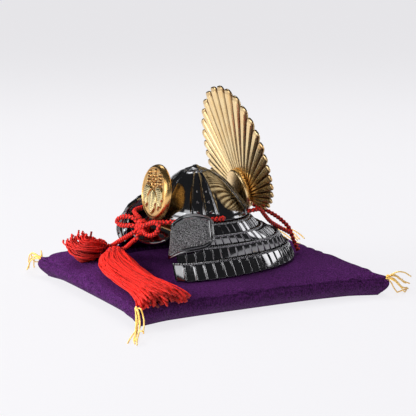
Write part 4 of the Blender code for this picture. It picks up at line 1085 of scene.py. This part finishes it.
class Tassel:
    def __init__(self, name, stations, shrink):
        self.name = name
        self.table = smooth_route(stations, TASSEL_STEP)
        skirt = self.table[self.nearest(stations[3][:3]):]
        skirt[:, :3] = skirt[0, :3] + (skirt[:, :3] - skirt[0, :3]) * shrink
        skirt[:, 3:] *= shrink ** 0.6
        self.middle = self.table[:, :3]
        along = unit(np.gradient(self.middle, axis=0))
        self.side = unit(np.cross(along, (0.0, 0.0, 1.0)))
        self.rise = np.cross(self.side, along)
        self.run = run_along(self.middle)
        self.waist = self.run[self.nearest(stations[3][:3])]

    def nearest(self, spot):
        return int(np.argmin(np.linalg.norm(self.table[:, :3] - np.array(spot), axis=1)))

    def threads(self, node, count, size, tuft, sway, twist):
        run, parts, dark = self.run, [], []
        first = int(np.searchsorted(run, self.waist * 0.9))
        for number in range(count):
            turn = rng.uniform(0, 2 * math.pi)
            reach = math.sqrt(rng.uniform(0.20, 0.9))
            if number < count * 0.65:
                reach = rng.uniform(0.78, 1.10)
                turn = rng.uniform(-0.15, math.pi + 0.15)
            drift = rng.normal(twist, sway)
            wave, phase = rng.uniform(0.03, 0.10), rng.uniform(0, 6.28)
            last = len(run) - 1 - int(rng.uniform(0, 0.0060) / TASSEL_STEP)
            picks = np.unique(np.linspace(first, last, 22 if len(run) > 80 else 16).astype(int))
            go = (run[picks] - run[first]) / (run[-1] - run[first])
            angle = turn + drift * go + 0.10 * np.sin(go * 7 + phase * 2)
            radial = reach * (1.0 + wave * np.sin(go * 9 + phase))
            wide, tall = self.table[picks, 3] * radial, self.table[picks, 4] * radial
            spots = (self.middle[picks] + self.side[picks] * (wide * np.cos(angle))[:, None]
                     + self.rise[picks] * (tall * np.sin(angle))[:, None])
            loose = np.exp((run[picks] - run[-1]) / LOOSE_REACH)[:, None]
            spots = spots + loose * rng.normal(0.0, LOOSE_SPREAD * tuft, 3)
            spots[:, 2] = np.maximum(spots[:, 2], cushion_top(spots[:, 0], spots[:, 1]) + size * 1.2)
            radius = np.full(len(spots), size * rng.uniform(0.85, 1.15))
            radius[-2:] *= 1.6
            parts.append(tube(spots, radius, THREAD_AROUND))
            # Partly painted shade, partly random tone: threads that lie further in are darker, and each
            # thread gets a random tone on top
            shade = np.clip(1.0 - reach, 0.0, 0.75) * 1.5 + rng.uniform(0.0, 0.40)
            dark.append(np.full(len(spots) * THREAD_AROUND, shade))
        points, faces = merge(parts)
        piece(self.name + "_threads", points, faces, STRAND, node, fields={"dark": np.concatenate(dark)})

    # Cord wound round the tassel from its top to its waist
    def head(self):
        back = np.linspace(0.0, 1.0, 420)
        rows = np.hstack([self.table, self.side, self.rise])
        rows = interp_rows(back * self.waist, self.run, rows)
        angle = back * HEAD_TURNS * 2 * math.pi
        wide = (rows[:, 3] - HEAD_RADIUS) * np.cos(angle)
        tall = (rows[:, 4] - HEAD_RADIUS) * np.sin(angle)
        route = rows[:, :3] + rows[:, 5:8] * wide[:, None] + rows[:, 8:] * tall[:, None]
        _, points, faces, dark = braided(route, 0.00030, HEAD_RADIUS)
        piece(self.name + "_head", points, faces, RED, fields={"dark": dark})

    # Closed body under the threads, so that nothing shows through between them; it is painted dark, as
    # painted shade between the threads
    def core(self):
        turn = circle(CORE_AROUND)
        rings = []
        for k in np.searchsorted(self.run, np.linspace(0.0008, self.waist * 1.25, 14)):
            wide, tall = self.table[k, 3:] - HEAD_RADIUS * 1.1
            rings.append(self.middle[k] + np.outer(np.cos(turn) * wide, self.side[k])
                         + np.outer(np.sin(turn) * tall, self.rise[k]))
        points = np.vstack(rings)
        faces = capped(len(rings), CORE_AROUND)
        piece(self.name + "_core", points, faces, STRAND, fields={"dark": np.full(len(points), 0.55)})


def build_tassel(name, node, stations, shrink, **threads):
    tassel = Tassel(name, stations, shrink)
    tassel.threads(node, **threads)
    tassel.head()
    tassel.core()


# Yellow ties at the cushion's corners: corner, strings, and steps from it in millimetres
TIES = {
    "front_left": (0, 8, metres((
        (4.5, -1.8, -0.8), (9.5, -3.8, -7.0), (16.5, -8.0, -10.2), (26.0, -13.2, -10.6),
        (34.5, -16.5, -10.8),
    ))),
    "rear_left": (1, 8, metres((
        (1.0, 4.5, 0.0), (-1.0, 10.0, -3.5), (-4.5, 16.0, -7.8), (-8.0, 21.5, -9.8), (-10.5, 26.0, -10.4),
    ))),
    "rear_right": (2, 8, metres((
        (2.0, 4.8, 1.0), (7.5, 9.5, -0.8), (15.0, 13.0, -5.5), (21.5, 15.0, -9.2), (26.5, 16.5, -10.2),
    ))),
    "front_right": (3, 7, metres((
        (-4.5, -1.0, 2.2), (-10.5, -0.5, 1.2), (-16.0, 0.8, -4.0), (-20.0, 1.8, -8.5), (-23.5, 2.6, -10.2),
    ))),
}
STRING_RADIUS = 0.00046
STRING_FLOOR = 0.00048
STRING_AROUND = 8


def tie_string(tip, base):
    spread = rng.normal(0.0, 1.0, 3)
    bend = rng.normal(0.0, 1.0, 3)
    go = np.linspace(0.0, 1.0, len(base))[:, None]
    spots = base + spread * (0.0004 + 0.0036 * go) + bend * 0.0022 * np.sin(math.pi * go)
    spots[0] = tip + rng.normal(0.0, 0.0003, 3)
    route = smooth_route(spots, 0.0009)
    route = route[:int(len(route) * rng.uniform(0.80, 1.0))]
    route[:, 2] = np.maximum(route[:, 2], STRING_FLOOR)
    along = np.arange(len(route))[:, None]
    ring = np.arange(STRING_AROUND)[None, :]
    twist = 1.0 + 0.16 * np.cos(2 * math.pi * (ring / STRING_AROUND * 2 + along * 0.5))
    return tube(route, STRING_RADIUS, STRING_AROUND, shape=twist)


def build_tie(name, corner, strings, steps):
    tip = np.array((*CORNERS[corner], SEAM))
    base = np.vstack([tip, tip + np.array(steps)])
    parts = [tie_string(tip, base) for _ in range(strings)]
    out = unit(np.array((*steps[0][:2], 0.0)))
    t = np.linspace(0, 2 * math.pi, 17)[:, None]
    ring = tip + out * (0.0012 + 0.0013 * np.cos(t)) + np.array((0, 0, 0.0016)) * np.sin(t)
    parts.append(tube(smooth_route(ring, 0.0004), 0.0006, STRING_AROUND, (1.0, 0.3, 0.2)))
    points, faces = merge(parts)
    piece("tie_" + name, points, faces, YELLOW, "corner_tie_" + name)


# Floor and light. Each light has its azimuth, elevation, distance, width, height and radiance, and False
# where it is left out of reflections.
FLOOR_HALF = 14
FLOOR_GLOW = 0.80
WORLD_GLOW = 0.05
SOFTBOXES = (
    ("key", -8, 14, 1.4, 1.3, 0.55, 3.2),
    ("key_soft", -12, 24, 1.4, 1.2, 0.6, 9.2, False),
    ("top_soft", 250, 62, 1.5, 1.1, 1.0, 5.2, False),
    ("side_soft", 20, 50, 1.5, 0.8, 0.6, 2.0, False),
    ("crown", 255, 50, 1.5, 0.5, 0.25, 4.0),
    ("rear", 170, 17, 1.4, 0.62, 0.40, 3.6),
    ("front", 31, 29, 1.4, 0.85, 0.75, 2.0),
    ("strip", 96, 38, 1.4, 0.07, 0.5, 6.0),
)


def softbox(name, azimuth, elevation, distance, wide, tall, radiance, mirrored_too=True):
    place = direction(azimuth, elevation) * distance
    light = bpy.data.lights.new(name, "AREA")
    light.shape = "RECTANGLE"
    light.size, light.size_y = wide, tall
    light.energy = radiance * math.pi * wide * tall
    lamp = bpy.data.objects.new(name, light)
    lamp.location = place + Vector((0, 0, 0.04))
    lamp.rotation_euler = (-place).to_track_quat("-Z", "Y").to_euler()
    lamp.visible_glossy = mirrored_too
    bpy.context.scene.collection.objects.link(lamp)


def build_stage():
    mesh = bpy.data.meshes.new("floor")
    corners = [(x * FLOOR_HALF, y * FLOOR_HALF, 0) for x, y in ((-1, -1), (1, -1), (1, 1), (-1, 1))]
    mesh.from_pydata(corners, [], [(0, 1, 2, 3)])
    floor = bpy.data.objects.new("floor", mesh)
    bpy.context.scene.collection.objects.link(floor)
    white = Nodes("floor_white", Base_Color=(0.10, 0.10, 0.103, 1.0), Roughness=0.7, Specular_IOR_Level=0.1,
                  Emission_Color=(0.98, 0.97, 1.0, 1.0), Emission_Strength=FLOOR_GLOW)
    mesh.materials.append(white.material)
    world = bpy.data.worlds.new("studio")
    bpy.context.scene.world = world
    world.use_nodes = True
    back = world.node_tree.nodes["Background"]
    back.inputs["Color"].default_value = (0.93, 0.94, 1.0, 1.0)
    back.inputs["Strength"].default_value = WORLD_GLOW
    for lamp in SOFTBOXES:
        softbox(*lamp)
    bpy.context.scene.view_settings.view_transform = "Standard"


place_camera()
for cord in CORDS:
    build_cord(*cord)
build_knot()
build_bowl()
build_rosette()
for number in range(3):
    build_tier("neck_tier_%d" % (number + 1), number, False, TIER_FRONT)
build_tier("neck_tier_4", 3, True, RIM_FRONT)
build_turn_back("turn_back_left", 1)
build_turn_back("turn_back_right", -1)
build_visor()
build_disc()
build_lug()
build_fan()
build_boss()
build_cushion()
build_seam()
build_tassel("tassel_one", "tassel_1", TASSEL_A, 0.80,
             count=260, size=0.00046, tuft=1.5, sway=0.7, twist=-1.9)
build_tassel("tassel_two", "tassel_2", TASSEL_B, 1.0,
             count=200, size=0.00050, tuft=1.3, sway=0.42, twist=0.1)
for name, tie in TIES.items():
    build_tie(name, *tie)
build_stage()
